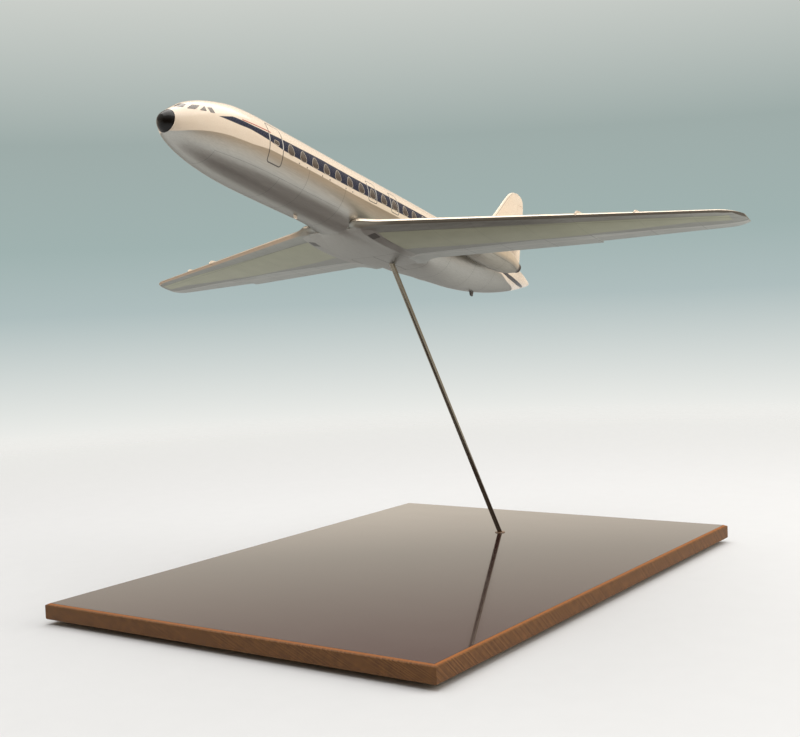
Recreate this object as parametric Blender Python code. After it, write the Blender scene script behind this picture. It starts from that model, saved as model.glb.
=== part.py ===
"""A desk display model of a rear-engined twin-jet airliner at 1:50, on a slanted steel rod and a laminated board."""

from math import copysign, cos, pi, radians, sin, sqrt

import bmesh
import bpy
from mathutils import Matrix, Vector

# The finished model stands on z = 0, with the middle of its outline at the origin, and its nose points to +X.
# This is where that puts the middle of the board's top. All places below are measured from there, in metres.
BOARD_PLACE = (-0.0179, 0.0105, 0.0195)
BOARD_LENGTH = 0.5886
BOARD_WIDTH = 0.430
BOARD_THICKNESS = 0.015
LAMINATE_THICKNESS = 0.0008
# across and down from the outline, on the strips around the board; the top one is as wide as a strip
TOP_CHAMFER = (0.0034, 0.0016)
BOTTOM_CHAMFER = 0.0014
BOARD_TOP = 0.0
BOARD_BOTTOM = BOARD_TOP - BOARD_THICKNESS
FOOT_RADIUS = 0.010
FOOT_TAPER = 0.92
FOOT_HEIGHT = 0.0042
FOOT_INSET = 0.045
ROD_RADIUS = 0.0025
ROD_FOOT = (-0.1608, 0.0019)
ROD_IN_BOARD = 0.009
ROD_IN_BELLY = 0.014
RING_RADIUS = 0.0056
RING_TAPER = 0.92
RING_HEIGHT = 0.0006
CUTTER_REACH = 0.03
GAP = 0.0003

# The aircraft's attitude, and the place of its nose datum above the board's middle.
SCALE = 1 / 50
HEADING = radians(2.18)
PITCH = radians(14.63)
ROLL = radians(2.97)
NOSE_DATUM = (0.3275, 0.0024, 0.4184)
AIRCRAFT = (
    Matrix.Translation(NOSE_DATUM)
    @ Matrix.Rotation(HEADING, 4, "Z")
    @ Matrix.Rotation(-PITCH, 4, "Y")
    @ Matrix.Rotation(ROLL, 4, "X")
    @ Matrix.Scale(SCALE, 4)
)

# From here on, sizes are full-size metres, which AIRCRAFT brings to 1:50.
# Stations run aft from the nose, y runs to port and z up from the fuselage's axis.
FULL_GAP = GAP / SCALE
UP = Vector((0, 0, 1))
ACROSS = Vector((0, 1, 0))

RING_POINTS = 40
NOSE_TIP = (-0.06, -0.28)
RADOME_END = 0.30
# station, top, bottom, half width, height of the widest line, fullness of the lower half
FUSELAGE_SECTIONS = (
    (-0.01, -0.10, -0.46, 0.18, -0.28, 2.0),
    (0.08, 0.01, -0.59, 0.31, -0.28, 2.0),
    (0.18, 0.10, -0.69, 0.40, -0.28, 2.0),
    (RADOME_END, 0.19, -0.77, 0.47, -0.28, 2.0),
    (0.42, 0.30, -0.86, 0.55, -0.28, 2.0),
    (0.62, 0.46, -0.97, 0.67, -0.26, 2.0),
    (1.00, 0.74, -1.11, 0.85, -0.20, 2.0),
    (1.50, 1.00, -1.24, 1.04, -0.13, 2.0),
    (2.00, 1.19, -1.34, 1.19, -0.08, 2.0),
    (2.60, 1.37, -1.43, 1.33, -0.04, 2.0),
    (3.40, 1.54, -1.51, 1.47, 0.0, 2.0),
    (4.40, 1.60, -1.57, 1.57, 0.0, 2.0),
    (5.60, 1.60, -1.60, 1.60, 0.0, 2.0),
    (10.40, 1.60, -1.60, 1.60, 0.0, 2.0),
    (11.60, 1.60, -1.63, 1.62, -0.02, 2.4),
    (13.20, 1.60, -1.68, 1.68, -0.06, 3.6),
    (15.80, 1.60, -1.70, 1.70, -0.08, 4.0),
    (18.20, 1.60, -1.69, 1.69, -0.06, 3.6),
    (19.80, 1.60, -1.64, 1.64, -0.02, 2.6),
    (21.40, 1.60, -1.58, 1.60, 0.0, 2.1),
    (23.00, 1.60, -1.46, 1.55, 0.06, 2.0),
    (24.80, 1.59, -1.20, 1.42, 0.18, 2.0),
    (26.60, 1.55, -0.83, 1.20, 0.34, 2.0),
    (28.40, 1.46, -0.35, 0.92, 0.54, 2.0),
    (30.00, 1.30, 0.17, 0.58, 0.74, 2.0),
    (30.80, 1.15, 0.48, 0.34, 0.83, 2.0),
    (31.30, 1.04, 0.67, 0.20, 0.87, 2.0),
    (31.56, 0.96, 0.80, 0.09, 0.88, 2.0),
)
# Steps of the table that differ by less than this ratio are halved along a cubic curve.
EVEN_STEPS = 2.2

WING_ROOT_Y = 0.9
WING_BODY_Y = 1.6
WING_TIP_Y = 17.15
# station at the body's side, and its growth for each metre out
WING_LE = (11.61, 0.401)
WING_TE = (17.26, 0.165)
WING_Z = -1.28
WING_DIHEDRAL = 0.0281
WING_INCIDENCE = 0.052
# share of the chord at the body's side and at the tip
WING_THICKNESS = (0.125, 0.105)
TRAILING_EDGE = 0.030
FLAP_END_Y = 10.40
# how far the flaps reach behind the trailing edge line, at the body's side and at their outer end
FLAP_EXTRA = (-0.18, 0.22)
# Inside the first y the edges spread to the body, forward and aft by these much at the second y.
ROOT_FILLET_Y = (2.4, 1.5)
ROOT_FILLET_FORE = 0.30
ROOT_FILLET_AFT = 0.60
WING_TIP_START = 16.2
WING_TIP_CUT = (0.85, 0.35)
AIRFOIL_STEPS = 11
# name, y, length and height above the skin, length and depth below it
FENCES = (
    ("inner", 10.62, 2.30, 0.13, 0.45, 0.07),
    ("outer", 13.0, 1.60, 0.09, 0.22, 0.03),
)
FENCE_THICKNESS = 0.04
FENCE_STEPS = 7

FIN_SECTIONS = (
    # z, leading edge station, trailing edge station, thickness
    (1.15, 20.40, 30.20, 0.42),
    (1.75, 22.60, 30.38, 0.44),
    (2.15, 24.30, 30.42, 0.44),
    (2.60, 25.50, 30.46, 0.42),
    (3.20, 26.32, 30.52, 0.38),
    (4.20, 27.33, 30.60, 0.31),
    (5.20, 28.28, 30.66, 0.24),
    (5.60, 28.70, 30.62, 0.20),
    (5.82, 29.02, 30.50, 0.16),
    (5.95, 29.36, 30.28, 0.12),
    (6.01, 29.70, 30.04, 0.07),
)
RUDDER_CHORD = (1.45, 0.80)
RUDDER_Z = (1.90, 5.35)
TAIL_Z = 2.75
TAIL_ROOT_Y = 0.02
TAIL_TIP_START = 4.7
TAIL_HALF_SPAN = 5.30
TAIL_LE = (26.60, 0.47)
TAIL_TE = (29.85, 0.12)
TAIL_THICKNESS = 0.11
TAIL_TIP_CUT = (0.85, 0.25)

NACELLE_Y = 2.39
NACELLE_Z = 0.08
NACELLE_POINTS = 28
# station, radius, around each nacelle's axis
NACELLE_OUTSIDE = (
    (19.95, 0.52),
    (20.05, 0.60),
    (20.45, 0.69),
    (21.20, 0.74),
    (22.40, 0.74),
    (23.30, 0.72),
    (23.90, 0.67),
    (24.40, 0.58),
    (24.90, 0.45),
    (25.30, 0.33),
)
NACELLE_INSIDE = (
    (25.30, 0.30),
    (24.70, 0.30),
    (24.30, 0.40),
    (23.80, 0.46),
    (21.20, 0.46),
    (20.50, 0.45),
    (20.00, 0.48),
)
INTAKE_FACE = ((21.35, 0.03), (21.45, 0.10), (21.75, 0.14), (21.76, 0.445), (22.05, 0.445))
INTAKE_TIP = 21.33
EXHAUST_PIPE = ((24.72, 0.284), (25.38, 0.284), (25.56, 0.275), (25.56, 0.235), (24.72, 0.235))
# root's y and z; the pylon's front and rear stations
PYLON_ROOT = (1.0, 0.06)
PYLON_CHORD = (20.8, 23.9)
PYLON_THICKNESS = 0.10

# station, z of the root line, length, height (down is negative), sweep, thickness, tip's share of the length
BELLY_BLADE = (8.58, -1.40, 0.34, -0.36, 0.14, 0.06, 0.62)
ROOF_BLADE = (10.2, 1.40, 0.60, 0.46, 0.30, 0.07, 0.62)
TAIL_MAST = (24.50, -0.95, 0.62, -0.50, 0.22, 0.14, 0.45)

ROD_STATION = 16.73
ROD_BELLY_Z = -1.69


def material(name, colour, roughness, metallic=0.0):
    made = bpy.data.materials.new(name)
    made.use_nodes = True
    shader = made.node_tree.nodes["Principled BSDF"]
    shader.inputs["Base Color"].default_value = (*colour, 1.0)
    shader.inputs["Roughness"].default_value = roughness
    shader.inputs["Metallic"].default_value = metallic
    made.diffuse_color = (*colour, 1.0)
    return made


def add_object(name, bm, finish, smooth_angle=35.0):
    bmesh.ops.recalc_face_normals(bm, faces=bm.faces)
    mesh = bpy.data.meshes.new(name)
    bm.to_mesh(mesh)
    bm.free()
    mesh.materials.append(finish)
    mesh.shade_smooth()
    mesh.set_sharp_from_angle(angle=radians(smooth_angle))
    made = bpy.data.objects.new(name, mesh)
    bpy.context.scene.collection.objects.link(made)
    return made


def add_cutter(name, bm):
    """A shape that only trims others: it is left out of the finished model."""
    made = add_object(name, bm, bpy.data.materials["guide"])
    made.hide_render = True
    made.display_type = "WIRE"
    return made


def cut(target, cutter):
    step = target.modifiers.new("Cut", "BOOLEAN")
    step.operation = "DIFFERENCE"
    step.object = cutter


def loft(bm, rings):
    """Joins closed rings of points one after another and closes both ends. A ring of one point is a pole."""
    made = [[bm.verts.new(place) for place in ring] for ring in rings]
    for low, high in zip(made, made[1:]):
        count = max(len(low), len(high))
        for i in range(count):
            j = (i + 1) % count
            corners = []
            for vertex in (low[i % len(low)], low[j % len(low)], high[j % len(high)], high[i % len(high)]):
                if vertex not in corners:
                    corners.append(vertex)
            bm.faces.new(corners)
    for ring in (made[0], made[-1]):
        if len(ring) > 2:
            bm.faces.new(ring)


def closed_ring(bm, rings):
    """A ring-shaped body from circles that run down its outside and back up its inside."""
    made = [[bm.verts.new(place) for place in ring] for ring in rings]
    for low, high in zip(made, made[1:] + made[:1]):
        for i in range(len(low)):
            j = (i + 1) % len(low)
            bm.faces.new((low[i], low[j], high[j], high[i]))


def to_model(bm, matrix=AIRCRAFT):
    bmesh.ops.transform(bm, matrix=matrix, verts=bm.verts)


def point(station, y, z):
    return Vector((-station, y, z))


def between(low, high, share):
    return [a + (b - a) * share for a, b in zip(low, high)]


def fuselage_ring(section, growth=0.0):
    """One section: half ellipses, with a superellipse below where the wing fairing fills the lower corners."""
    station, top, bottom, half_width, widest, fullness = section
    ring = []
    for i in range(RING_POINTS):
        turn = 2 * pi * i / RING_POINTS
        across, up = sin(turn), cos(turn)
        power = 2.0 if up >= 0 else fullness
        height = (top - widest if up >= 0 else widest - bottom) + growth
        y = copysign(abs(across) ** (2 / power), across) * (half_width + growth)
        z = copysign(abs(up) ** (2 / power), up) * height
        ring.append(point(station, y, widest + z))
    return ring


def smooth_sections(low, high):
    """The sections between two stations. A cubic curve through four rows halves the steps of like length."""
    rows = [row for row in FUSELAGE_SECTIONS if row[0] >= RADOME_END]
    made = [rows[0]]
    for i in range(1, len(rows)):
        if 1 < i < len(rows) - 1:
            steps = [b[0] - a[0] for a, b in zip(rows[i - 2 : i + 1], rows[i - 1 : i + 2])]
            if max(steps) < EVEN_STEPS * min(steps):
                columns = zip(rows[i - 2], rows[i - 1], rows[i], rows[i + 1])
                made.append([(9 * (b + c) - a - d) / 16 for a, b, c, d in columns])
        made.append(rows[i])
    return [row for row in made if low <= row[0] <= high]


def add_fuselage(finish):
    bm = bmesh.new()
    rows = smooth_sections(RADOME_END, FUSELAGE_SECTIONS[-1][0])
    front = [RADOME_END + FULL_GAP / 2, *rows[0][1:]]
    loft(bm, [fuselage_ring(row) for row in (front, *rows[1:])])
    to_model(bm)
    return add_object("fuselage", bm, finish)


def add_radome(finish):
    bm = bmesh.new()
    rows = [row for row in FUSELAGE_SECTIONS if row[0] <= RADOME_END]
    back = [RADOME_END - FULL_GAP / 2, *rows[-1][1:]]
    tip = [point(NOSE_TIP[0], 0, NOSE_TIP[1])]
    loft(bm, [tip] + [fuselage_ring(row) for row in (*rows[:-1], back)])
    to_model(bm)
    return add_object("radome", bm, finish)


def body_cutter(name, low, high):
    """The fuselage grown by the gap, which trims what is set against it."""
    bm = bmesh.new()
    loft(bm, [fuselage_ring(row, FULL_GAP) for row in smooth_sections(low, high)])
    to_model(bm)
    return add_cutter(name, bm)


def half_thickness(share, thickness, chord):
    """A rounded-nose, thin-tailed section, with a blunt trailing edge."""
    curve = 0.2969 * sqrt(share) - 0.1260 * share - 0.3516 * share**2 + 0.2843 * share**3 - 0.1036 * share**4
    return 5 * thickness * chord * curve + TRAILING_EDGE / 2 * share


def airfoil(leading, trailing, thickness, across, front=0.0, back=1.0):
    """A ring around a chord line, or around its stretch from front to back. across is its thickness's direction."""
    chord = (trailing - leading).length
    steps = [(1 - cos(pi * i / AIRFOIL_STEPS)) / 2 for i in range(AIRFOIL_STEPS + 1)]
    shares = [front + (back - front) * step for step in steps]
    upper = [leading.lerp(trailing, s) + across * half_thickness(s, thickness, chord) for s in shares]
    lower = [leading.lerp(trailing, s) - across * half_thickness(s, thickness, chord) for s in shares]
    return upper + (lower[:0:-1] if front == 0.0 else lower[::-1])


def rounding(share, fullness):
    """How far a rounded tip's edge is cut back, from 0 where the rounding starts."""
    return 1 - sqrt(1 - fullness * share**2)


def wing_row(y):
    """Leading and trailing stations, their heights, and the thickness, at a distance out."""
    out = y - WING_BODY_Y
    leading = WING_LE[0] + WING_LE[1] * out
    trailing = WING_TE[0] + WING_TE[1] * out
    if y < ROOT_FILLET_Y[0]:
        share = (ROOT_FILLET_Y[0] - max(y, ROOT_FILLET_Y[1])) / (ROOT_FILLET_Y[0] - ROOT_FILLET_Y[1])
        leading -= ROOT_FILLET_FORE * share**2
        trailing += ROOT_FILLET_AFT * share**2
    if y <= FLAP_END_Y:
        trailing += between(FLAP_EXTRA[:1], FLAP_EXTRA[1:], out / (FLAP_END_Y - WING_BODY_Y))[0]
    tip = max(0.0, (y - WING_TIP_START) / (WING_TIP_Y - WING_TIP_START))
    leading += WING_TIP_CUT[0] * rounding(tip, 0.94)
    trailing -= WING_TIP_CUT[1] * tip**2
    z_leading = WING_Z + WING_DIHEDRAL * out
    z_trailing = z_leading - WING_INCIDENCE * (trailing - leading)
    share = min(1.0, max(0.0, out / (WING_TIP_Y - WING_BODY_Y)))
    thickness = WING_THICKNESS[0] + (WING_THICKNESS[1] - WING_THICKNESS[0]) * share
    return leading, trailing, z_leading, z_trailing, thickness * (1 - rounding(tip, 0.75))


def wing_ring(y, sign, shorter=0.0):
    leading, trailing, z_leading, z_trailing, thickness = wing_row(y)
    front = point(leading, sign * y, z_leading)
    return airfoil(front, point(trailing - shorter, sign * y, z_trailing), thickness, UP)


def add_wing(side, sign, finish, body):
    inner = [WING_ROOT_Y, ROOT_FILLET_Y[1], 1.75, 2.05, ROOT_FILLET_Y[0], 4.5, 7.5, FLAP_END_Y]
    outer = [FLAP_END_Y + 0.03, 13.5, WING_TIP_START, 16.65, 16.92, 17.07, WING_TIP_Y]
    bm = bmesh.new()
    loft(bm, [wing_ring(y, sign) for y in inner + outer])
    to_model(bm)
    wing = add_object(f"wing_{side}", bm, finish)
    cut(wing, body)
    return wing


def wing_cutter(side, sign):
    """The outer wing grown by the gap, ahead of its flaps, which trims the fences."""
    rings = []
    for y, shorter in ((FLAP_END_Y - 0.5, FLAP_EXTRA[1]), (14.5, 0.0)):
        ring = wing_ring(y, sign, shorter)
        centre = sum(ring, Vector()) / len(ring)
        grown = []
        for place in ring:
            away = place - centre
            away.x *= 0.25
            grown.append(place + away.normalized() * FULL_GAP)
        rings.append(grown)
    bm = bmesh.new()
    loft(bm, rings)
    to_model(bm)
    return add_cutter(f"wing_cutter_{side}", bm)


def add_fence(row, side, sign, finish, cutter):
    """A thin plate that wraps over the wing's leading edge. The wing, grown by the gap, is cut out of it."""
    name, y, length_above, above, length_below, below = row
    leading, trailing, z_leading, z_trailing, thickness = wing_row(y)
    chord = trailing - leading
    upper, lower = [], []
    for edge, sense, length, height in ((upper, 1, length_above, above), (lower, -1, length_below, below)):
        for i in range(FENCE_STEPS + 1):
            share = length / chord * (1 - cos(pi / 2 * i / FENCE_STEPS))
            middle = z_leading + (z_trailing - z_leading) * share
            reach = half_thickness(share, thickness, chord)
            reach += max(height * sqrt(1 - (i / FENCE_STEPS) ** 4), FULL_GAP)
            edge.append((leading + chord * share, middle + sense * reach))
    nose = [
        (leading - 0.7 * above, z_leading + 0.4 * above),
        (leading - 0.7 * below - 0.02, z_leading - 0.3 * below),
    ]
    bm = bmesh.new()
    rings = []
    for offset in (-FENCE_THICKNESS / 2, FENCE_THICKNESS / 2):
        rings.append([point(station, sign * y + offset, z) for station, z in upper[::-1] + nose + lower])
    loft(bm, rings)
    to_model(bm)
    fence = add_object(f"fence_{name}_{side}", bm, finish)
    cut(fence, cutter)
    return fence


def fin_row(z):
    """Height, leading edge, trailing edge and thickness of the fin at any height."""
    for low, high in zip(FIN_SECTIONS, FIN_SECTIONS[1:]):
        if low[0] <= z <= high[0]:
            return between(low, high, (z - low[0]) / (high[0] - low[0]))
    return list(FIN_SECTIONS[-1])


def fin_ring(z, front=0.0, back=1.0, growth=0.0):
    """The fin's section at a height, or its stretch from front to back, which are shares of its chord."""
    _, leading, trailing, thickness = fin_row(z)
    leading, trailing = leading - growth, trailing + growth
    ratio = (thickness + 2 * growth) / (trailing - leading)
    return airfoil(point(leading, 0, z), point(trailing, 0, z), ratio, ACROSS, front, back)


def hinge_share(z, gap=0.0):
    """The rudder's hinge line as a share of the chord at this height."""
    _, leading, trailing, _ = fin_row(z)
    share = (z - RUDDER_Z[0]) / (RUDDER_Z[1] - RUDDER_Z[0])
    chord = RUDDER_CHORD[0] + (RUDDER_CHORD[1] - RUDDER_CHORD[0]) * share
    return (trailing - chord + gap - leading) / (trailing - leading)


def add_fin(finish, body):
    """The fin with its dorsal fillet, and the rudder behind its hinge line."""
    low, high = RUDDER_Z
    heights = [row[0] for row in FIN_SECTIONS]
    below = [z for z in heights if z < low] + [low - FULL_GAP]
    beside = [z for z in heights if low < z < high]
    above = [high + FULL_GAP] + [z for z in heights if z > high]
    bm = bmesh.new()
    rings = [fin_ring(z) for z in below]
    rings += [fin_ring(z, back=hinge_share(z)) for z in (low, *beside, high)]
    loft(bm, rings + [fin_ring(z) for z in above])
    to_model(bm)
    fin = add_object("fin", bm, finish)
    cut(fin, body)
    bm = bmesh.new()
    beside = [low + FULL_GAP, *beside, high - FULL_GAP]
    loft(bm, [fin_ring(z, front=hinge_share(z, FULL_GAP)) for z in beside])
    to_model(bm)
    return fin, add_object("rudder", bm, finish)


def fin_cutter():
    """The fin grown by the gap, which trims the tailplane's roots."""
    bm = bmesh.new()
    loft(bm, [fin_ring(z, growth=FULL_GAP) for z in (2.2, 2.6, 3.2, 3.6)])
    to_model(bm)
    return add_cutter("fin_cutter", bm)


def add_tailplane(side, sign, finish, cutter):
    bm = bmesh.new()
    rings = []
    for y in (TAIL_ROOT_Y, 0.6, 2.6, TAIL_TIP_START, 5.05, 5.22, TAIL_HALF_SPAN):
        tip = max(0.0, (y - TAIL_TIP_START) / (TAIL_HALF_SPAN - TAIL_TIP_START))
        leading = TAIL_LE[0] + TAIL_LE[1] * y + TAIL_TIP_CUT[0] * rounding(tip, 0.92)
        trailing = TAIL_TE[0] + TAIL_TE[1] * y - TAIL_TIP_CUT[1] * rounding(tip, 0.9)
        thickness = TAIL_THICKNESS * (1 - rounding(tip, 0.7))
        front = point(leading, sign * y, TAIL_Z)
        rings.append(airfoil(front, point(trailing, sign * y, TAIL_Z), thickness, UP))
    loft(bm, rings)
    to_model(bm)
    tailplane = add_object(f"tailplane_{side}", bm, finish)
    cut(tailplane, cutter)
    return tailplane


def turned(profile, sign, growth=0.0):
    """Rings around a nacelle's axis, from (station, radius) pairs."""
    rings = []
    for station, radius in profile:
        ring = []
        for i in range(NACELLE_POINTS):
            turn = 2 * pi * i / NACELLE_POINTS
            y = sign * NACELLE_Y + (radius + growth) * sin(turn)
            ring.append(point(station, y, NACELLE_Z + (radius + growth) * cos(turn)))
        rings.append(ring)
    return rings


def add_nacelle(side, sign, metal, dark, steel):
    bm = bmesh.new()
    closed_ring(bm, turned(NACELLE_OUTSIDE + NACELLE_INSIDE, sign))
    to_model(bm)
    add_object(f"nacelle_{side}", bm, metal)
    bm = bmesh.new()
    loft(bm, [[point(INTAKE_TIP, sign * NACELLE_Y, NACELLE_Z)]] + turned(INTAKE_FACE, sign))
    to_model(bm)
    add_object(f"intake_face_{side}", bm, dark)
    bm = bmesh.new()
    closed_ring(bm, turned(EXHAUST_PIPE, sign))
    to_model(bm)
    add_object(f"exhaust_pipe_{side}", bm, steel)


def nacelle_cutter(side, sign):
    bm = bmesh.new()
    loft(bm, turned(NACELLE_OUTSIDE, sign, FULL_GAP))
    to_model(bm)
    return add_cutter(f"nacelle_cutter_{side}", bm)


def add_pylon(side, sign, finish, body, nacelle):
    bm = bmesh.new()
    rings = []
    for y, z in (PYLON_ROOT, (NACELLE_Y, NACELLE_Z)):
        front = point(PYLON_CHORD[0], sign * y, z)
        rings.append(airfoil(front, point(PYLON_CHORD[1], sign * y, z), PYLON_THICKNESS, UP))
    loft(bm, rings)
    to_model(bm)
    pylon = add_object(f"pylon_{side}", bm, finish)
    cut(pylon, body)
    cut(pylon, nacelle)
    return pylon


def add_blade(name, row, finish, body):
    """A small upright or hanging blade, trimmed to the body's skin."""
    station, z, length, height, sweep, thickness, tip_share = row
    rings = []
    for share, scale in ((0.0, 1.0), (1.0, tip_share)):
        leading = point(station + sweep * share, 0, z + height * share)
        trailing = point(station + sweep * share + length * scale, 0, z + height * share)
        rings.append(airfoil(leading, trailing, thickness / length, ACROSS))
    bm = bmesh.new()
    loft(bm, rings)
    to_model(bm)
    blade = add_object(name, bm, finish)
    cut(blade, body)
    return blade


def cylinder(start, end, radius, points=24):
    bm = bmesh.new()
    axis = end - start
    place = Matrix.Translation((start + end) / 2) @ axis.to_track_quat("Z", "Y").to_matrix().to_4x4()
    bmesh.ops.create_cone(
        bm, cap_ends=True, segments=points, radius1=radius, radius2=radius, depth=axis.length, matrix=place
    )
    return bm


def disc(place, low_radius, high_radius, height, points):
    bm = bmesh.new()
    bmesh.ops.create_cone(
        bm, cap_ends=True, segments=points, radius1=low_radius, radius2=high_radius, depth=height,
        matrix=Matrix.Translation(place),
    )
    return bm


def slab(low, high):
    bm = bmesh.new()
    size = Vector(high) - Vector(low)
    middle = (Vector(high) + Vector(low)) / 2
    bmesh.ops.create_cube(bm, size=1.0, matrix=Matrix.Translation(middle) @ Matrix.Diagonal((*size, 1)))
    return bm


def add_edge_strips(wood):
    """Four strips with chamfered edges, mitred at the board's corners."""
    x, y = BOARD_LENGTH / 2, BOARD_WIDTH / 2
    wide, deep = TOP_CHAMFER
    # across the strip: distance in from the board's outline, height
    profile = (
        (wide, BOARD_BOTTOM),
        (BOTTOM_CHAMFER, BOARD_BOTTOM),
        (0.0, BOARD_BOTTOM + BOTTOM_CHAMFER),
        (0.0, BOARD_TOP - deep),
        (wide, BOARD_TOP - GAP / 2),
    )
    sides = (("front", 0, x, y), ("port", 1, y, x), ("rear", 2, x, y), ("starboard", 3, y, x))
    for name, quarter, out, half in sides:
        rings = []
        for end in (-1, 1):
            rings.append([Vector((out - inward, end * (half - inward - GAP / 2), z)) for inward, z in profile])
        bm = bmesh.new()
        loft(bm, rings)
        to_model(bm, Matrix.Rotation(quarter * pi / 2, 4, "Z"))
        add_object(f"edge_strip_{name}", bm, wood)


def add_board(laminate, wood, chipboard, rubber):
    """Core, top sheet, edge strips and four feet."""
    x, y = BOARD_LENGTH / 2, BOARD_WIDTH / 2
    inset = TOP_CHAMFER[0] + GAP
    sheet_bottom = BOARD_TOP - LAMINATE_THICKNESS
    core = slab((inset - x, inset - y, BOARD_BOTTOM), (x - inset, y - inset, sheet_bottom - GAP))
    sheet = slab((inset - x, inset - y, sheet_bottom), (x - inset, y - inset, BOARD_TOP))
    core = add_object("board_core", core, chipboard)
    sheet = add_object("top_laminate", sheet, laminate)
    add_edge_strips(wood)
    z = BOARD_BOTTOM - GAP - FOOT_HEIGHT / 2
    for name, end in (("front", 1), ("rear", -1)):
        for side, sign in (("port", 1), ("starboard", -1)):
            place = (end * (x - FOOT_INSET), sign * (y - FOOT_INSET), z)
            bm = disc(place, FOOT_RADIUS * FOOT_TAPER, FOOT_RADIUS, FOOT_HEIGHT, 32)
            add_object(f"foot_{name}_{side}", bm, rubber)
    return core, sheet


def add_rod(steel, brown, fuselage, core, sheet):
    """The rod, its holes in the board and the belly, and the ring around its foot."""
    foot = Vector((*ROD_FOOT, BOARD_TOP))
    belly = AIRCRAFT @ point(ROD_STATION, 0, ROD_BELLY_Z)
    along = (belly - foot).normalized()
    low = foot - along * ROD_IN_BOARD
    high = belly + along * ROD_IN_BELLY
    add_object("rod", cylinder(low, high, ROD_RADIUS), steel)
    hole = add_cutter("rod_hole", cylinder(low - along * GAP, foot + along * CUTTER_REACH, ROD_RADIUS + GAP))
    cut(core, hole)
    cut(sheet, hole)
    socket = cylinder(belly - along * CUTTER_REACH, high + along * GAP, ROD_RADIUS + GAP)
    cut(fuselage, add_cutter("belly_socket", socket))
    place = (*ROD_FOOT, BOARD_TOP + GAP + RING_HEIGHT / 2)
    ring = add_object("rod_ring", disc(place, RING_RADIUS, RING_RADIUS * RING_TAPER, RING_HEIGHT, 40), brown)
    cut(ring, hole)


def main():
    for old in list(bpy.data.objects):
        bpy.data.objects.remove(old, do_unlink=True)
    material("guide", (0.5, 0.5, 0.5), 0.5)
    white = material("white_enamel", (0.86, 0.84, 0.80), 0.28)
    silver = material("silver_paint", (0.52, 0.53, 0.54), 0.35, 0.6)
    black = material("black_gloss", (0.02, 0.02, 0.02), 0.12)
    dark = material("dark_grey", (0.07, 0.07, 0.07), 0.5)
    steel = material("steel", (0.55, 0.53, 0.50), 0.25, 1.0)
    laminate = material("brown_laminate", (0.10, 0.07, 0.07), 0.1)
    wood = material("edge_wood", (0.42, 0.25, 0.13), 0.45)
    chipboard = material("chipboard", (0.45, 0.35, 0.24), 0.8)
    rubber = material("rubber", (0.05, 0.05, 0.05), 0.8)
    brown = material("brown_ring", (0.30, 0.17, 0.09), 0.5)

    fuselage = add_fuselage(white)
    add_radome(black)
    front_body = body_cutter("front_body", 5.0, 14.0)
    middle_body = body_cutter("middle_body", 10.0, 22.0)
    rear_body = body_cutter("rear_body", 18.0, 32.0)
    add_fin(white, rear_body)
    beside_fin = fin_cutter()
    for side, sign in (("port", 1), ("starboard", -1)):
        add_wing(side, sign, silver, middle_body)
        fence_bed = wing_cutter(side, sign)
        for row in FENCES:
            add_fence(row, side, sign, white, fence_bed)
        add_nacelle(side, sign, silver, dark, steel)
        add_pylon(side, sign, silver, rear_body, nacelle_cutter(side, sign))
        add_tailplane(side, sign, white, beside_fin)
    add_blade("belly_blade", BELLY_BLADE, white, front_body)
    add_blade("roof_blade", ROOF_BLADE, white, front_body)
    add_blade("tail_mast", TAIL_MAST, dark, rear_body)
    core, sheet = add_board(laminate, wood, chipboard, rubber)
    add_rod(steel, brown, fuselage, core, sheet)
    for made in bpy.data.objects:
        made.location = BOARD_PLACE


main()
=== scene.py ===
from contextlib import contextmanager
from math import copysign, cos, pi, radians, sin, sqrt

import bmesh
import bpy
from mathutils import Matrix, Vector


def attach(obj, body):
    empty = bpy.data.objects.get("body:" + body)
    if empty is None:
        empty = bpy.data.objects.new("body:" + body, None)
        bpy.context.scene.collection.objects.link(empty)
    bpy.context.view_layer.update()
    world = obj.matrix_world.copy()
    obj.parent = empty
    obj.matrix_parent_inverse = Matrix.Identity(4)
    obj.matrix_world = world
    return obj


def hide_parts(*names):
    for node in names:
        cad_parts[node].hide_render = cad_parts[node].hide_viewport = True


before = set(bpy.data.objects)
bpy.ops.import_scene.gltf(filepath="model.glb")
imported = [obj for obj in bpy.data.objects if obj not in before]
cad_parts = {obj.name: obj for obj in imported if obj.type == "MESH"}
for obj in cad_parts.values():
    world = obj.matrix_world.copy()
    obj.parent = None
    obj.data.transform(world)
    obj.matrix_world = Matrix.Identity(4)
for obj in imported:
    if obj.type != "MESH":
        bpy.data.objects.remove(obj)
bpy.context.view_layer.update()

# A desk display model of a rear-engined twin-jet airliner at 1:50, on a slanted steel rod and a laminated
# board. Places on the stand are in metres from the middle of the board's top, and BOARD_PLACE brings them to
# the frame.
BOARD_PLACE = Vector((-0.0179, 0.0105, 0.0195))
BOARD_LENGTH = 0.5886
BOARD_WIDTH = 0.430
LAMINATE_THICKNESS = 0.0008
STRIP_WIDTH = 0.0034
ROD_FOOT = Vector((-0.1608, 0.0019, 0.0))
ROD_RADIUS = 0.0025
ROD_IN_BOARD = 0.0085
ROD_IN_BELLY = 0.0135
RING_HEIGHT = 0.0006
RING_RADIUS = 0.0056
RING_TAPER = 0.92
RING_LIFT = 0.0002
# how wide the edges of the small pieces are rounded
ROD_EASE = 0.0004
SHEET_EASE = 0.00006
RING_EASE = 0.00018
STRIP_EASE = 0.0002
FOOT_EASE = 0.0004
FENCE_EASE = 0.00018

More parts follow.
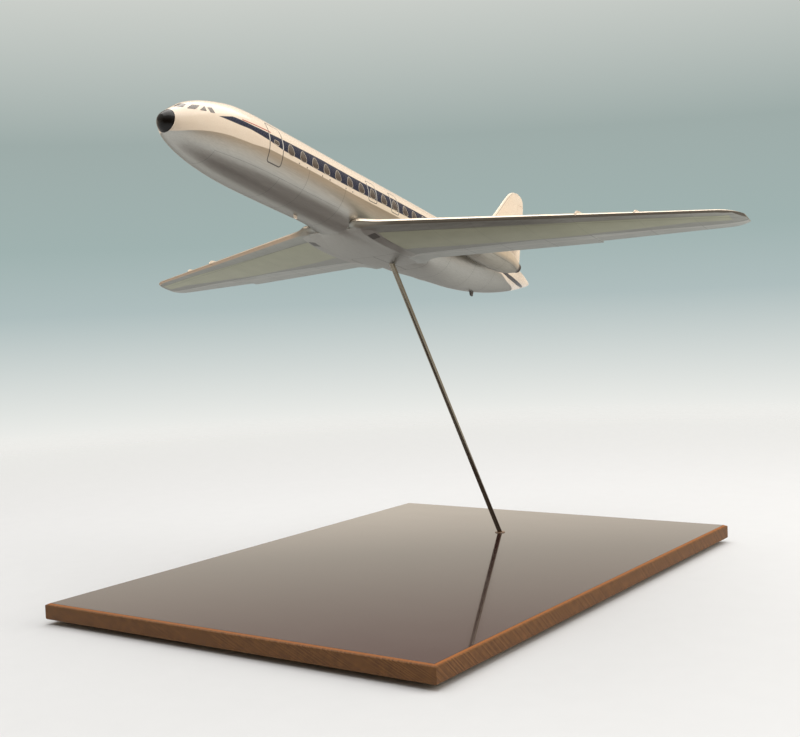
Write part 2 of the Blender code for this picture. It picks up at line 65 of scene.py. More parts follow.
# Places on the aircraft are full-size metres: station aft from the nose, y to port and z up. AIRCRAFT brings
# them to the frame, with x running forward.
SCALE = 1 / 50
NOSE_DATUM = Vector((0.3275, 0.0024, 0.4184))
AIRCRAFT = (
    Matrix.Translation(BOARD_PLACE + NOSE_DATUM)
    @ Matrix.Rotation(radians(2.18), 4, "Z")
    @ Matrix.Rotation(radians(-14.63), 4, "Y")
    @ Matrix.Rotation(radians(2.97), 4, "X")
    @ Matrix.Scale(SCALE, 4)
)
UP = Vector((0, 0, 1))
ACROSS = Vector((0, 1, 0))
SIDES = (("port", 1), ("starboard", -1))
BOARD = Matrix.Translation(BOARD_PLACE)
ROD_BELLY = AIRCRAFT @ Vector((-16.73, 0, -1.69))
ROD_ALONG = (ROD_BELLY - BOARD_PLACE - ROD_FOOT).normalized()
ROD_TURN = ROD_ALONG.to_track_quat("Z", "Y").to_euler()


def linear(part):
    """One part of a screen colour, 0 to 255, as the linear share that the shaders take."""
    share = part / 255
    return share / 12.92 if part < 11 else ((share + 0.055) / 1.055) ** 2.4


def rgba(shade):
    """A screen colour of red, green and blue as the shaders take it."""
    return (*map(linear, shade), 1.0)


class Field:
    """A shader socket. An expression on it adds the Math nodes that work it out."""

    def __init__(self, finish, socket):
        self.finish = finish
        self.socket = socket

    def maths(self, operation, *values, clamp=False):
        return self.finish.node("Math", {"operation": operation, "use_clamp": clamp}, dict(enumerate(values)))

    def __add__(self, other):
        return self.maths("ADD", self, other)

    def __sub__(self, other):
        return self.maths("SUBTRACT", self, other)

    def __mul__(self, other):
        return self.maths("MULTIPLY", self, other)

    def __truediv__(self, other):
        return self.maths("DIVIDE", self, other)

    def __pow__(self, other):
        return self.maths("POWER", self, other)

    def __and__(self, other):
        return self.maths("MINIMUM", self, other)

    def __or__(self, other):
        return self.maths("MAXIMUM", self, other)

    def __gt__(self, other):
        return self.maths("GREATER_THAN", self, other)

    def __rsub__(self, other):
        return self.maths("SUBTRACT", other, self)

    def __rtruediv__(self, other):
        return self.maths("DIVIDE", other, self)

    def __neg__(self):
        return self * -1.0

    def __abs__(self):
        return self.maths("ABSOLUTE", self)

    __radd__, __rmul__, __rand__, __ror__ = __add__, __mul__, __and__, __or__

    def over(self, edge, soft):
        """1 where this is above the edge, and 0 below it, with a soft step between."""
        return self.maths("MULTIPLY_ADD", self - edge, 1 / soft, 0.5, clamp=True)

    def line(self, place, half_width):
        """1 on a thin line where this passes a place."""
        return 1 - abs(self - place).over(half_width, half_width * 0.5)

    def within(self, low, high, soft=0.01):
        return self.over(low, soft) * (1 - self.over(high, soft))


class Finish:
    """A material or a world in the making. What is the same all over is set on its shader's sockets."""

    def __init__(self, name, slot="", kind="materials", shader="Principled BSDF", **constants):
        self.slot = slot
        self.block = getattr(bpy.data, kind).new(name)
        self.block.use_nodes = True
        self.tree = self.block.node_tree
        self.shader = self.tree.nodes[shader]
        for socket, value in constants.items():
            self.shader.inputs[socket.replace("_", " ")].default_value = value

    def node(self, kind, settings=(), inputs=(), output=0):
        """Any node: its type, its settings, which are set first, and the values or links of its sockets."""
        made = self.tree.nodes.new("ShaderNode" + kind)
        for name, value in dict(settings).items():
            if name == "stops":
                elements = made.color_ramp.elements
                while len(elements) < len(value):
                    elements.new(1.0)
                for stop, (place, shade) in zip(elements, value):
                    stop.position, stop.color = place, shade
            elif name == "curve":
                points = made.mapping.curves[0].points
                while len(points) < len(value):
                    points.new(0.5, 0.5)
                for spot, (along, up) in zip(points, sorted(value)):
                    spot.location, spot.handle_type = (along, up), "VECTOR"
                made.mapping.update()
            else:
                setattr(made, name, value)
        for name, value in dict(inputs).items():
            if isinstance(value, Field):
                self.tree.links.new(value.socket, made.inputs[name])
            else:
                made.inputs[name].default_value = value
        return Field(self, made.outputs[output])

    def place(self):
        return self.node("TexCoord", output="Object")

    def parts(self, vector):
        split = self.node("SeparateXYZ", inputs={0: vector})
        return [Field(self, split.socket.node.outputs[i]) for i in range(3)]

    def aircraft(self):
        """The full-size station, y and z of a point, the three as one vector, and a fine noise."""
        inputs = {"Vector": self.place(), "Location": AIRCRAFT.to_translation(), "Scale": (SCALE,) * 3}
        inputs["Rotation"] = AIRCRAFT.to_euler("XYZ")
        vector = self.node("Mapping", {"vector_type": "TEXTURE"}, inputs)
        x, y, z = self.parts(vector)
        return -x, y, z, vector, self.noise(vector, FINE_SCALE, 3.0)

    def stretched(self, vector, *scale):
        return self.node("Mapping", {}, {"Vector": vector, "Scale": scale})

    def noise(self, vector, scale, detail):
        return self.node("TexNoise", {}, {"Vector": vector, "Scale": scale, "Detail": detail})

    def mix(self, share, low, high):
        """A shade between two, which are screen colours or links."""
        low, high = [rgba(shade) if isinstance(shade, tuple) else shade for shade in (low, high)]
        return self.node("Mix", {"data_type": "RGBA"}, {0: share, 6: low, 7: high}, output=2)

    def graph(self, along, points):
        """A value that follows (place, value) pairs in straight steps."""
        places, values = zip(*points)
        low, bottom = min(places), min(values)
        span, height = max(places) - low, max(max(values) - bottom, 1e-6)
        curve = [((place - low) / span, (value - bottom) / height) for place, value in points]
        return self.node("FloatCurve", {"curve": curve}, {"Value": (along - low) / span}) * height + bottom

    def feed(self, **sockets):
        for name, value in sockets.items():
            self.tree.links.new(value.socket, self.shader.inputs[name.replace("_", " ")])

    def bump(self, height, distance, strength):
        return self.node("Bump", {}, {"Height": height, "Distance": distance, "Strength": strength})

    def seamed(self, grain, seams):
        """The relief of the aircraft's skin: its grain, with the seams sunk into it."""
        return self.bump(grain - seams, SEAM_DEPTH, SEAM_STRENGTH)


def only(*pieces):
    """Selects these pieces and nothing else. The last one is active."""
    bpy.ops.object.select_all(action="DESELECT")
    for piece in pieces:
        piece.select_set(True)
        bpy.context.view_layer.objects.active = piece


def start(name, primitive, **size):
    """A primitive with its place in its mesh, added with nothing else selected."""
    bpy.ops.object.select_all(action="DESELECT")
    getattr(bpy.ops.mesh, f"primitive_{primitive}_add")(**size)
    piece = bpy.context.object
    piece.name = piece.data.name = name
    bpy.ops.object.transform_apply(location=True, rotation=True, scale=True)
    return piece


@contextmanager
def editing(piece):
    """Edit mode on one piece, with all of it selected."""
    only(piece)
    bpy.ops.object.mode_set(mode="EDIT")
    bpy.ops.mesh.select_mode(type="VERT")
    bpy.ops.mesh.select_all(action="SELECT")
    yield
    bpy.ops.object.mode_set(mode="OBJECT")


def pick_faces(piece, test):
    """In edit mode, selects the faces that pass a test, and nothing else."""
    bpy.ops.mesh.select_mode(type="FACE")
    bpy.ops.mesh.select_all(action="DESELECT")
    shape = bmesh.from_edit_mesh(piece.data)
    for face in shape.faces:
        if test(face):
            face.select_set(True)
    shape.select_flush_mode()
    bmesh.update_edit_mesh(piece.data)


def reshape(piece, rule):
    """In edit mode, moves each point to the place that a rule gives for where it is."""
    shape = bmesh.from_edit_mesh(piece.data)
    for vertex in shape.verts:
        vertex.co = rule(vertex.co)
    bmesh.update_edit_mesh(piece.data)


def put_selected(piece, places):
    """In edit mode, moves the selected points to these places, in order."""
    shape = bmesh.from_edit_mesh(piece.data)
    for vertex, place in zip([v for v in shape.verts if v.select], places):
        vertex.co = place
    bmesh.update_edit_mesh(piece.data)


def close_up():
    """In edit mode, merges doubles, fills open ends and turns the faces outwards."""
    bpy.ops.mesh.select_all(action="SELECT")
    bpy.ops.mesh.remove_doubles(threshold=1e-5)
    bpy.ops.mesh.fill_holes(sides=0)
    bpy.ops.mesh.normals_make_consistent(inside=False)


def skin(name, rings):
    """A skin over rings of points, from a circle that is extruded from each ring to the next."""
    piece = start(name, "circle", vertices=len(rings[0]))
    with editing(piece):
        put_selected(piece, rings[0])
        for ring in rings[1:]:
            bpy.ops.mesh.extrude_region_move()
            put_selected(piece, ring)
        close_up()
    return piece


def turned(name, centre, profile, points=64):
    """A piece turned around a line along the aircraft at (y, z), from (station, radius) pairs."""
    station, radius = profile[0]
    place = (-station, *centre)
    piece = start(name, "circle", vertices=points, radius=radius, location=place, rotation=(0, pi / 2, 0))
    with editing(piece):
        for (before, old), (after, new) in zip(profile, profile[1:]):
            bpy.ops.mesh.extrude_region_move(TRANSFORM_OT_translate={"value": (before - after, 0, 0)})
            ratio = new / old
            bpy.ops.transform.resize(value=(1, ratio, ratio), center_override=(-after, *centre))
        close_up()
    return piece


def use(piece, kind, **settings):
    """Adds a modifier to a piece and applies it."""
    only(piece)
    modifier = piece.modifiers.new(kind, kind)
    for name, value in settings.items():
        setattr(modifier, name, value)
    bpy.ops.object.modifier_apply(modifier=modifier.name)


def ease_edges(piece, width, segments, angle=30):
    """Rounds the edges that turn by more than an angle."""
    use(piece, "BEVEL", width=width, segments=segments, limit_method="ANGLE", angle_limit=radians(angle))


def cut(piece, tool):
    use(piece, "BOOLEAN", operation="DIFFERENCE", object=tool, solver="EXACT")


def done(piece, finish, *nodes, place=AIRCRAFT, angle=35):
    """Finishes a piece: its place goes into its mesh, and it rides on the model's one body."""
    only(piece)
    if place is not None:
        piece.matrix_world = place
        bpy.ops.object.transform_apply(location=True, rotation=True, scale=True)
    bpy.ops.object.shade_smooth_by_angle(angle=radians(angle))
    piece.data.materials.clear()
    piece.data.materials.append(finish.block)
    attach(piece, "root")
    if nodes:
        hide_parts(*nodes)


def twin(piece, name):
    """A copy of a piece, with its own mesh."""
    other = piece.copy()
    other.data = piece.data.copy()
    other.name = other.data.name = name
    bpy.context.scene.collection.objects.link(other)
    return other


def copy_of(node, name):
    """A merged copy of a CAD node, whose own mesh is loose triangles and stays as it is."""
    piece = twin(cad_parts[node], name)
    piece.parent = None
    for key in list(piece.keys()):
        del piece[key]
    with editing(piece):
        bpy.ops.mesh.remove_doubles(threshold=1e-6)
        bpy.ops.mesh.tris_convert_to_quads(face_threshold=radians(30), shape_threshold=radians(40))
        bpy.ops.mesh.dissolve_limited(angle_limit=radians(1))
    return piece


def point(station, y, z):
    return Vector((-station, y, z))


def ramp(value, start, end):
    """How far a value has gone from start to end, as a share from 0 to 1."""
    return min(1.0, max(0.0, (value - start) / (end - start)))


def part_way(low, high, share):
    return low + (high - low) * share


def row_at(rows, place):
    """The row at a place in the first column, from the two rows around it."""
    for low, high in zip(rows, rows[1:]):
        if low[0] <= place <= high[0]:
            share = (place - low[0]) / (high[0] - low[0])
            return [part_way(a, b, share) for a, b in zip(low, high)]
    return rows[-1]


def eased(rows, steps):
    """Rows of a table with more between them, along cubic curves over the first column."""
    made = []
    for i in range(len(rows) - 1):
        a, b = rows[i], rows[i + 1]
        before, after = rows[max(i - 1, 0)], rows[min(i + 2, len(rows) - 1)]
        width = b[0] - a[0]
        for step in range(steps):
            t = step / steps
            row = []
            for k in range(len(a)):
                rise_a = (b[k] - before[k]) / (b[0] - before[0]) * width
                rise_b = (after[k] - a[k]) / (after[0] - a[0]) * width
                value = (2 * t**3 - 3 * t**2 + 1) * a[k] + (t**3 - 2 * t**2 + t) * rise_a
                row.append(value + (3 * t**2 - 2 * t**3) * b[k] + (t**3 - t**2) * rise_b)
            made.append(row)
    return made + [list(rows[-1])]


# station, top, bottom, half width, height of the widest line, fullness of the lower half
HULL = (
    (-0.01, -0.10, -0.46, 0.18, -0.28, 2.0),
    (0.08, 0.01, -0.59, 0.31, -0.28, 2.0),
    (0.18, 0.10, -0.69, 0.40, -0.28, 2.0),
    (0.30, 0.19, -0.77, 0.47, -0.28, 2.0),
    (0.42, 0.30, -0.86, 0.55, -0.28, 2.0),
    (0.62, 0.46, -0.97, 0.67, -0.26, 2.0),
    (1.00, 0.74, -1.11, 0.85, -0.20, 2.0),
    (1.50, 1.00, -1.24, 1.04, -0.13, 2.0),
    (2.00, 1.19, -1.34, 1.19, -0.08, 2.0),
    (2.60, 1.369, -1.43, 1.33, -0.04, 2.0),
    (3.40, 1.539, -1.51, 1.47, 0.0, 2.0),
    (4.40, 1.60, -1.57, 1.57, 0.0, 2.0),
    (5.60, 1.60, -1.60, 1.60, 0.0, 2.0),
    (8.00, 1.60, -1.60, 1.60, 0.0, 2.0),
    (10.40, 1.60, -1.60, 1.60, 0.0, 2.0),
    (11.60, 1.60, -1.63, 1.62, -0.02, 2.4),
    (13.20, 1.60, -1.68, 1.68, -0.06, 3.6),
    (15.80, 1.60, -1.70, 1.70, -0.08, 4.0),
    (18.20, 1.60, -1.69, 1.69, -0.06, 3.6),
    (19.80, 1.60, -1.64, 1.64, -0.02, 2.6),
    (21.40, 1.60, -1.58, 1.60, 0.0, 2.1),
    (23.00, 1.60, -1.46, 1.55, 0.06, 2.0),
    (24.80, 1.59, -1.20, 1.42, 0.18, 2.0),
    (26.60, 1.55, -0.83, 1.20, 0.34, 2.0),
    (28.40, 1.46, -0.35, 0.92, 0.54, 2.0),
    (30.00, 1.30, 0.17, 0.58, 0.74, 2.0),
    (30.80, 1.15, 0.48, 0.34, 0.83, 2.0),
    (31.30, 1.04, 0.67, 0.20, 0.87, 2.0),
    (31.56, 0.96, 0.80, 0.09, 0.88, 2.0),
)
NOSE_TIP = -0.0428
RADOME_END = 0.30
RADOME_STEPS = 4
HULL_STEPS = 3
HULL_POINTS = 72
HULL_ROWS = eased(HULL, HULL_STEPS)


def hull_ring(row):
    """The hull's ring at a row: half ellipses above and below, the lower one fuller where the row says so."""
    station, top, bottom, half_width, widest, fullness = row
    ring = []
    for i in range(HULL_POINTS):
        turn = 2 * pi * i / HULL_POINTS
        across, up = sin(turn), cos(turn)
        power = 2.0 if up >= 0 else fullness
        height = top - widest if up >= 0 else widest - bottom
        y = copysign(abs(across) ** (2 / power), across) * half_width
        z = copysign(abs(up) ** (2 / power), up) * height
        ring.append(point(station, y, widest + z))
    return ring


def make_hull():
    rows = [row for row in HULL if row[0] >= RADOME_END]
    return skin("fuselage_skin", [hull_ring(row) for row in eased(rows, HULL_STEPS)])


def make_radome():
    """The nose cap, which rounds off to its tip ahead of the hull's first row."""
    rows = [row for row in eased(HULL[:5], RADOME_STEPS) if row[0] <= RADOME_END + 0.001]
    first = rows[0]
    early = []
    for share in [step / RADOME_STEPS for step in range(RADOME_STEPS)]:
        station = NOSE_TIP + (first[0] - NOSE_TIP) * share**2
        top, bottom = [part_way(first[4], edge, share) for edge in first[1:3]]
        early.append((station, top, bottom, first[3] * share, *first[4:]))
    return skin("radome_shell", [hull_ring(row) for row in early + rows])


# the wing's edges are a station at the hull's side and the sweep for each metre of span
WING_ROOT_Y = 0.9
WING_BODY_Y = 1.6
WING_TIP_Y = 17.1496
WING_LE = (11.61, 0.401)
WING_TE = (17.26, 0.165)
WING_Z = -1.28
WING_DIHEDRAL = 0.0281
WING_INCIDENCE = 0.052
WING_THICKNESS = (0.125, 0.105)
WING_STEPS = 20
TRAILING_EDGE = 0.030
# the flap ends at a step, and what it adds to the chord runs from the root to that end
FLAP_END_Y = 10.40
FLAP_STEP = 0.03
FLAP_EXTRA = (-0.18, 0.22)
# where the root's fillet and tuck start and where they are full, and how far they reach
ROOT_FILLET_Y = (2.4, 1.5)
ROOT_FILLET = (0.30, 0.60)
ROOT_TUCK_Y = (1.9, 0.9)
ROOT_TUCK = 0.5
# how far the tip's corners are cut back, and how full its rounding is in plan and in thickness
WING_TIP_START = 16.2
WING_TIP_CUT = (0.85, 0.35)
WING_TIP_FULLNESS = (0.94, 0.75)
WING_SPANS = (
    WING_ROOT_Y, 1.05, 1.2, 1.35, 1.5, 1.62, 1.75, 1.9, 2.05, 2.2, 2.4, 3.4, 4.5, 6.0, 7.5, 9.0, FLAP_END_Y,
    FLAP_END_Y + FLAP_STEP, 12.0, 13.5, 15.0, 16.2, 16.4, 16.6, 16.75, 16.88, 16.98, 17.06, 17.12, WING_TIP_Y,
)


def half_thickness(share, thickness, chord):
    """Half the thickness of a common wing section at a share of its chord, with a blunt trailing edge."""
    curve = 0.2969 * sqrt(share) - 0.1260 * share - 0.3516 * share**2 + 0.2843 * share**3 - 0.1036 * share**4
    return 5 * thickness * chord * curve + TRAILING_EDGE / 2 * share


def airfoil(leading, trailing, thickness, across, steps=WING_STEPS, front=0.0, back=1.0):
    """A ring around a chord line, or around a stretch of it. Its thickness runs across."""
    chord = (trailing - leading).length
    shares = [front + (back - front) * (1 - cos(pi * i / steps)) / 2 for i in range(steps + 1)]
    upper = [leading.lerp(trailing, s) + across * half_thickness(s, thickness, chord) for s in shares]
    lower = [leading.lerp(trailing, s) - across * half_thickness(s, thickness, chord) for s in shares]
    return upper + (lower[:0:-1] if front == 0.0 else lower[::-1])


def rounding(share, fullness):
    return 1 - sqrt(1 - fullness * share**2)


def wing_ring(y, sign):
    """The wing's section at a span, with the root's fillet and tuck, the flap's extra chord and the tip."""
    out = y - WING_BODY_Y
    fillet = ramp(y, *ROOT_FILLET_Y) ** 2
    tip = ramp(y, WING_TIP_START, WING_TIP_Y)
    leading = WING_LE[0] + WING_LE[1] * out - ROOT_FILLET[0] * fillet + ROOT_TUCK * ramp(y, *ROOT_TUCK_Y) ** 2
    trailing = WING_TE[0] + WING_TE[1] * out + ROOT_FILLET[1] * fillet
    if y <= FLAP_END_Y:
        trailing += part_way(*FLAP_EXTRA, out / (FLAP_END_Y - WING_BODY_Y))
    leading += WING_TIP_CUT[0] * rounding(tip, WING_TIP_FULLNESS[0])
    trailing -= WING_TIP_CUT[1] * tip**2
    z_leading = WING_Z + WING_DIHEDRAL * out
    z_trailing = z_leading - WING_INCIDENCE * (trailing - leading)
    thickness = part_way(*WING_THICKNESS, ramp(y, WING_BODY_Y, WING_TIP_Y))
    thickness *= 1 - rounding(tip, WING_TIP_FULLNESS[1])
    front = point(leading, sign * y, z_leading)
    return airfoil(front, point(trailing, sign * y, z_trailing), thickness, UP)


def make_wing(side, sign):
    return skin(f"wing_skin_{side}", [wing_ring(y, sign) for y in WING_SPANS])


# how far each fence reaches below the leading edge
FENCE_DROPS = {"inner": 0.035, "outer": 0.01}


def make_fence(name, side, drop):
    """A fence over the front of the wing, cut off just under the leading edge, with its edges eased."""
    fence = copy_of(f"fence_{name}_{side}", f"fence_plate_{name}_{side}")
    across = [(AIRCRAFT.inverted() @ vertex.co).y for vertex in fence.data.vertices]
    out = abs(sum(across) / len(across)) - WING_BODY_Y
    front = AIRCRAFT @ point(WING_LE[0] + WING_LE[1] * out, 0, WING_Z + WING_DIHEDRAL * out - drop)
    up = (AIRCRAFT.to_3x3() @ Vector((-WING_INCIDENCE, 0, 1))).normalized()
    with editing(fence):
        bpy.ops.mesh.bisect(plane_co=front, plane_no=up, use_fill=True, clear_inner=True, threshold=1e-6)
    ease_edges(fence, FENCE_EASE, 2, angle=40)
    return fence


# the fairing's half width, how far out it takes the wing's height from, and the stretch of chord under it
FAIRING_Y = 2.08
FAIRING_FLAT_Y = 1.45
FAIRING_START = 0.045
FAIRING_LENGTH = 0.92
# how far it stands off the skins, over what share it sinks into them at its rim, and how softly it joins them
FAIRING_LIFT = 0.011
FAIRING_RAMP = 0.03
FAIRING_BLEND = 0.26
FAIRING_WALL = 0.05
# how steeply the hull's underside counts as rising outside its sides
OUTSIDE_SLOPE = 8


def hull_low(station, y):
    """The height of the hull's lower side at a station, or far up outside its sides."""
    _, _, bottom, wide, widest, power = row_at(HULL_ROWS, station)
    if y >= wide:
        return widest + OUTSIDE_SLOPE * (y - wide)
    return widest - (widest - bottom) * (1 - (y / wide) ** power) ** (1 / power)


def wing_low(share, y):
    """Station and height of a point under the wing, at a share of its chord."""
    ring = wing_ring(y, 1)
    front, back = ring[0], ring[WING_STEPS]
    place = front.lerp(back, share)
    return -place.x, place.z - half_thickness(share, WING_THICKNESS[0], (back - front).length)


def fairing_place(place):
    """A point of a flat unit sheet as one of the fairing, blended between the hull and the wings."""
    u, v = place.x + 0.5, place.y + 0.5
    y = FAIRING_Y * (2 * v - 1)
    station, wing = wing_low(FAIRING_START + FAIRING_LENGTH * u, max(abs(y), FAIRING_FLAT_Y))
    body = hull_low(station, abs(y))
    blend = FAIRING_BLEND * sin(pi * ramp(u, 0, 1)) ** 0.5 + 1e-4
    near = max(blend - abs(body - wing), 0) / blend
    lift = FAIRING_LIFT * (2 * min(1, min(u, 1 - u, v, 1 - v) / FAIRING_RAMP) - 1)
    return point(station, y, min(body, wing) - near**2 * blend / 4 - lift)


def make_fairing():
    """The smooth underside that joins the belly and both wings, from a divided sheet."""
    sheet = start("root_fairing", "grid", x_subdivisions=64, y_subdivisions=72, size=1)
    with editing(sheet):
        reshape(sheet, fairing_place)
        bpy.ops.mesh.extrude_region_move(TRANSFORM_OT_translate={"value": (0, 0, FAIRING_WALL)})
        bpy.ops.mesh.select_all(action="SELECT")
        bpy.ops.mesh.normals_make_consistent(inside=False)
    return sheet


# z, leading edge station, trailing edge station, thickness
FIN = (
    (1.15, 20.40, 30.20, 0.42),
    (1.75, 22.60, 30.38, 0.44),
    (2.15, 24.30, 30.42, 0.44),
    (2.60, 25.50, 30.46, 0.42),
    (3.20, 26.32, 30.52, 0.38),
    (4.20, 27.33, 30.60, 0.31),
    (5.20, 28.28, 30.66, 0.24),
    (5.60, 28.70, 30.62, 0.20),
    (5.82, 29.02, 30.50, 0.16),
    (5.95, 29.36, 30.28, 0.12),
    (6.008, 29.70, 30.04, 0.07),
)
RUDDER_CHORD = (1.45, 0.80)
RUDDER_Z = (1.90, 5.35)
RUDDER_GAP = 0.016
# rings of the fin nearer than this to the rudder's ends are left out
RING_CLEAR = 0.05
FIN_STEPS = 16
FIN_ROWS = eased(FIN, 4)


def fin_ring(z, front=0.0, back=1.0):
    _, leading, trailing, thickness = row_at(FIN_ROWS, z)
    ratio = thickness / (trailing - leading)
    return airfoil(point(leading, 0, z), point(trailing, 0, z), ratio, ACROSS, FIN_STEPS, front, back)


def hinge_share(z, gap=0.0):
    """The share of the fin's chord at which the rudder starts."""
    _, leading, trailing, _ = row_at(FIN_ROWS, z)
    chord = part_way(*RUDDER_CHORD, (z - RUDDER_Z[0]) / (RUDDER_Z[1] - RUDDER_Z[0]))
    return (trailing - chord + gap - leading) / (trailing - leading)


def make_fin():
    """The fin with a notch in its back, and the rudder in the notch."""
    low, high = RUDDER_Z
    heights = [row[0] for row in FIN_ROWS]
    beside = [z for z in heights if low + RING_CLEAR < z < high - RING_CLEAR]
    rings = [fin_ring(z) for z in heights if z < low - RING_CLEAR] + [fin_ring(low - RUDDER_GAP)]
    rings += [fin_ring(z, back=hinge_share(z)) for z in (low, *beside, high)]
    rings += [fin_ring(high + RUDDER_GAP)] + [fin_ring(z) for z in heights if z > high + RING_CLEAR]
    fin = skin("fin_skin", rings)
    beside = [low + RUDDER_GAP, *beside, high - RUDDER_GAP]
    rudder = skin("rudder_skin", [fin_ring(z, front=hinge_share(z, RUDDER_GAP)) for z in beside])
    return fin, rudder


TAIL_Z = 2.75
TAIL_SPANS = (0.02, 0.6, 1.6, 2.6, 3.6, 4.7, 4.85, 4.98, 5.08, 5.16, 5.22, 5.27, 5.30)
TAIL_TIP = (4.7, 5.30)
TAIL_LE = (26.60, 0.47)
TAIL_TE = (29.85, 0.12)
TAIL_THICKNESS = 0.11
TAIL_TIP_CUT = (0.85, 0.25)
# how full the tip's rounding is at its front, at its back and in thickness
TAIL_TIP_FULLNESS = (0.92, 0.9, 0.7)


def make_tailplane(side, sign):
    rings = []
    for y in TAIL_SPANS:
        cuts = [rounding(ramp(y, *TAIL_TIP), fullness) for fullness in TAIL_TIP_FULLNESS]
        leading = TAIL_LE[0] + TAIL_LE[1] * y + TAIL_TIP_CUT[0] * cuts[0]
        trailing = TAIL_TE[0] + TAIL_TE[1] * y - TAIL_TIP_CUT[1] * cuts[1]
        front, back = [point(station, sign * y, TAIL_Z) for station in (leading, trailing)]
        rings.append(airfoil(front, back, TAIL_THICKNESS * (1 - cuts[2]), UP))
    return skin(f"tailplane_skin_{side}", rings)


NACELLE_Y = 2.39
NACELLE_Z = 0.08
# station and radius, from the lip over the outside to the rear rim and back through the inside
NACELLE_PROFILE = (
    (19.945, 0.50), (19.95, 0.535), (20.00, 0.585), (20.12, 0.63), (20.45, 0.69), (21.20, 0.74),
    (22.40, 0.74), (23.30, 0.72), (23.90, 0.67), (24.40, 0.58), (24.90, 0.45), (25.28, 0.335),
    (25.30, 0.32), (25.29, 0.30), (24.70, 0.30), (24.30, 0.40), (23.80, 0.46), (21.20, 0.46),
    (20.50, 0.45), (20.10, 0.46), (19.98, 0.475), (19.945, 0.50),
)
EXHAUST_PROFILE = (
    (24.72, 0.284), (25.30, 0.284), (25.50, 0.279), (25.555, 0.272), (25.56, 0.262), (25.56, 0.245),
    (25.555, 0.237), (25.40, 0.235), (24.72, 0.235), (24.72, 0.284),
)
SPINNER_PROFILE = (
    (21.56, 0.16), (21.50, 0.155), (21.42, 0.12), (21.36, 0.07), (21.33, 0.02), (21.328, 0.001),
)
BACKING_PROFILE = ((21.62, 0.02), (21.60, 0.445), (21.80, 0.445), (21.82, 0.02))
FAN_BLADES = 18
FAN_STATION = 21.50
FAN_HUB = 0.13
FAN_REACH = 0.315
# a fan blade's turn and width at its root, and how much more at its tip
FAN_LEAN = (0.5, 0.7)
FAN_WIDTH = (0.09, 0.05)
FAN_SPREAD = 1.6
FAN_THICKNESS = 0.012
# the leading edge's station, y and z of the pylon's rings
PYLON_RINGS = (
    (20.75, 1.0, 0.06), (20.8, 1.35, 0.062),
    (20.8, NACELLE_Y - 0.62, 0.075), (20.8, NACELLE_Y - 0.3, NACELLE_Z),
)
PYLON_END = 23.9
PYLON_THICKNESS = 0.10


def fan_place(place, centre):
    """A point of a flat unit sheet as one of the fan's top blade, which twists and widens to its tip."""
    along, out = place.x, place.y + 0.5
    lean = FAN_LEAN[0] + FAN_LEAN[1] * out
    reach = along * (FAN_WIDTH[0] + FAN_WIDTH[1] * out)
    y = centre[0] + reach * sin(lean) * FAN_SPREAD
    return -FAN_STATION - reach * cos(lean), y, centre[1] + FAN_HUB + FAN_REACH * out


def make_engine(side, sign):
    """Nacelle, exhaust pipe, the fan behind the intake's lip, and pylon."""
    centre = (sign * NACELLE_Y, NACELLE_Z)
    nacelle = turned(f"nacelle_shell_{side}", centre, NACELLE_PROFILE, 48)
    use(nacelle, "SUBSURF", levels=1, render_levels=1)
    pipe = turned(f"exhaust_tube_{side}", centre, EXHAUST_PROFILE)
    fan = turned(f"fan_{side}", centre, SPINNER_PROFILE)
    backing = turned("backing", centre, BACKING_PROFILE)
    blade = start("blade", "grid", x_subdivisions=3, y_subdivisions=6, size=1)
    with editing(blade):
        reshape(blade, lambda place: fan_place(place, centre))
    use(blade, "SOLIDIFY", thickness=FAN_THICKNESS, offset=0)
    hub = Matrix.Translation((0, *centre))
    blades = [blade]
    for i in range(1, FAN_BLADES):
        other = twin(blade, f"blade_{i}")
        turn = Matrix.Rotation(2 * pi * i / FAN_BLADES, 4, "X")
        other.data.transform(hub @ turn @ hub.inverted())
        blades.append(other)
    only(*blades, backing, fan)
    bpy.ops.object.join()
    rings = []
    for leading, y, z in PYLON_RINGS:
        front, back = [point(station, sign * y, z) for station in (leading, PYLON_END)]
        rings.append(airfoil(front, back, PYLON_THICKNESS, UP, steps=12))
    return nacelle, pipe, fan, skin(f"pylon_skin_{side}", rings)


# station, z of the root line, length, height (down is negative), sweep, thickness, tip's share of the length
BLADES = {
    "belly_blade": (8.58, -1.40, 0.34, -0.36, 0.14, 0.06, 0.62),
    "roof_blade": (10.2, 1.40, 0.60, 0.46, 0.30, 0.07, 0.62),
    "tail_mast": (24.50, -0.95, 0.62, -0.50, 0.22, 0.14, 0.45),
}
# share of a blade's height, and how far the ring there is drawn in
BLADE_RINGS = ((0.0, 0.0), (0.5, 0.0), (0.9, 0.0), (0.97, 0.08), (1.0, 0.25))
BLADE_INSET = 0.3


def make_blade(name, row):
    station, z, length, height, sweep, thickness, tip_share = row
    rings = []
    for share, inset in BLADE_RINGS:
        scale = 1 + (tip_share - 1) * share
        leading = station + sweep * share + inset * length * BLADE_INSET
        trailing = station + sweep * share + length * scale - inset * length * BLADE_INSET
        front, back = [point(edge, 0, z + height * share) for edge in (leading, trailing)]
        rings.append(airfoil(front, back, thickness / length * (1 - inset), ACROSS, steps=10))
    return skin(f"{name}_skin", rings)


WINDOW_Z = 0.31
WINDOW_STATIONS = (
    6.23, 7.10, 7.96, 8.81, 9.69, 10.61, 11.52, 12.41, 13.33, 14.27, 15.20, 16.03, 16.93, 17.82, 18.71,
)
EXIT_STATIONS = (12.41, 14.27)
# a window's row goes on with its half width, half height, how much narrower its top is, and how square it is
WINDOW_SHAPE = (0.215, 0.26, 0.36, 2.3)
WINDOW_POINTS = 36
RIM_WIDTH = 0.022
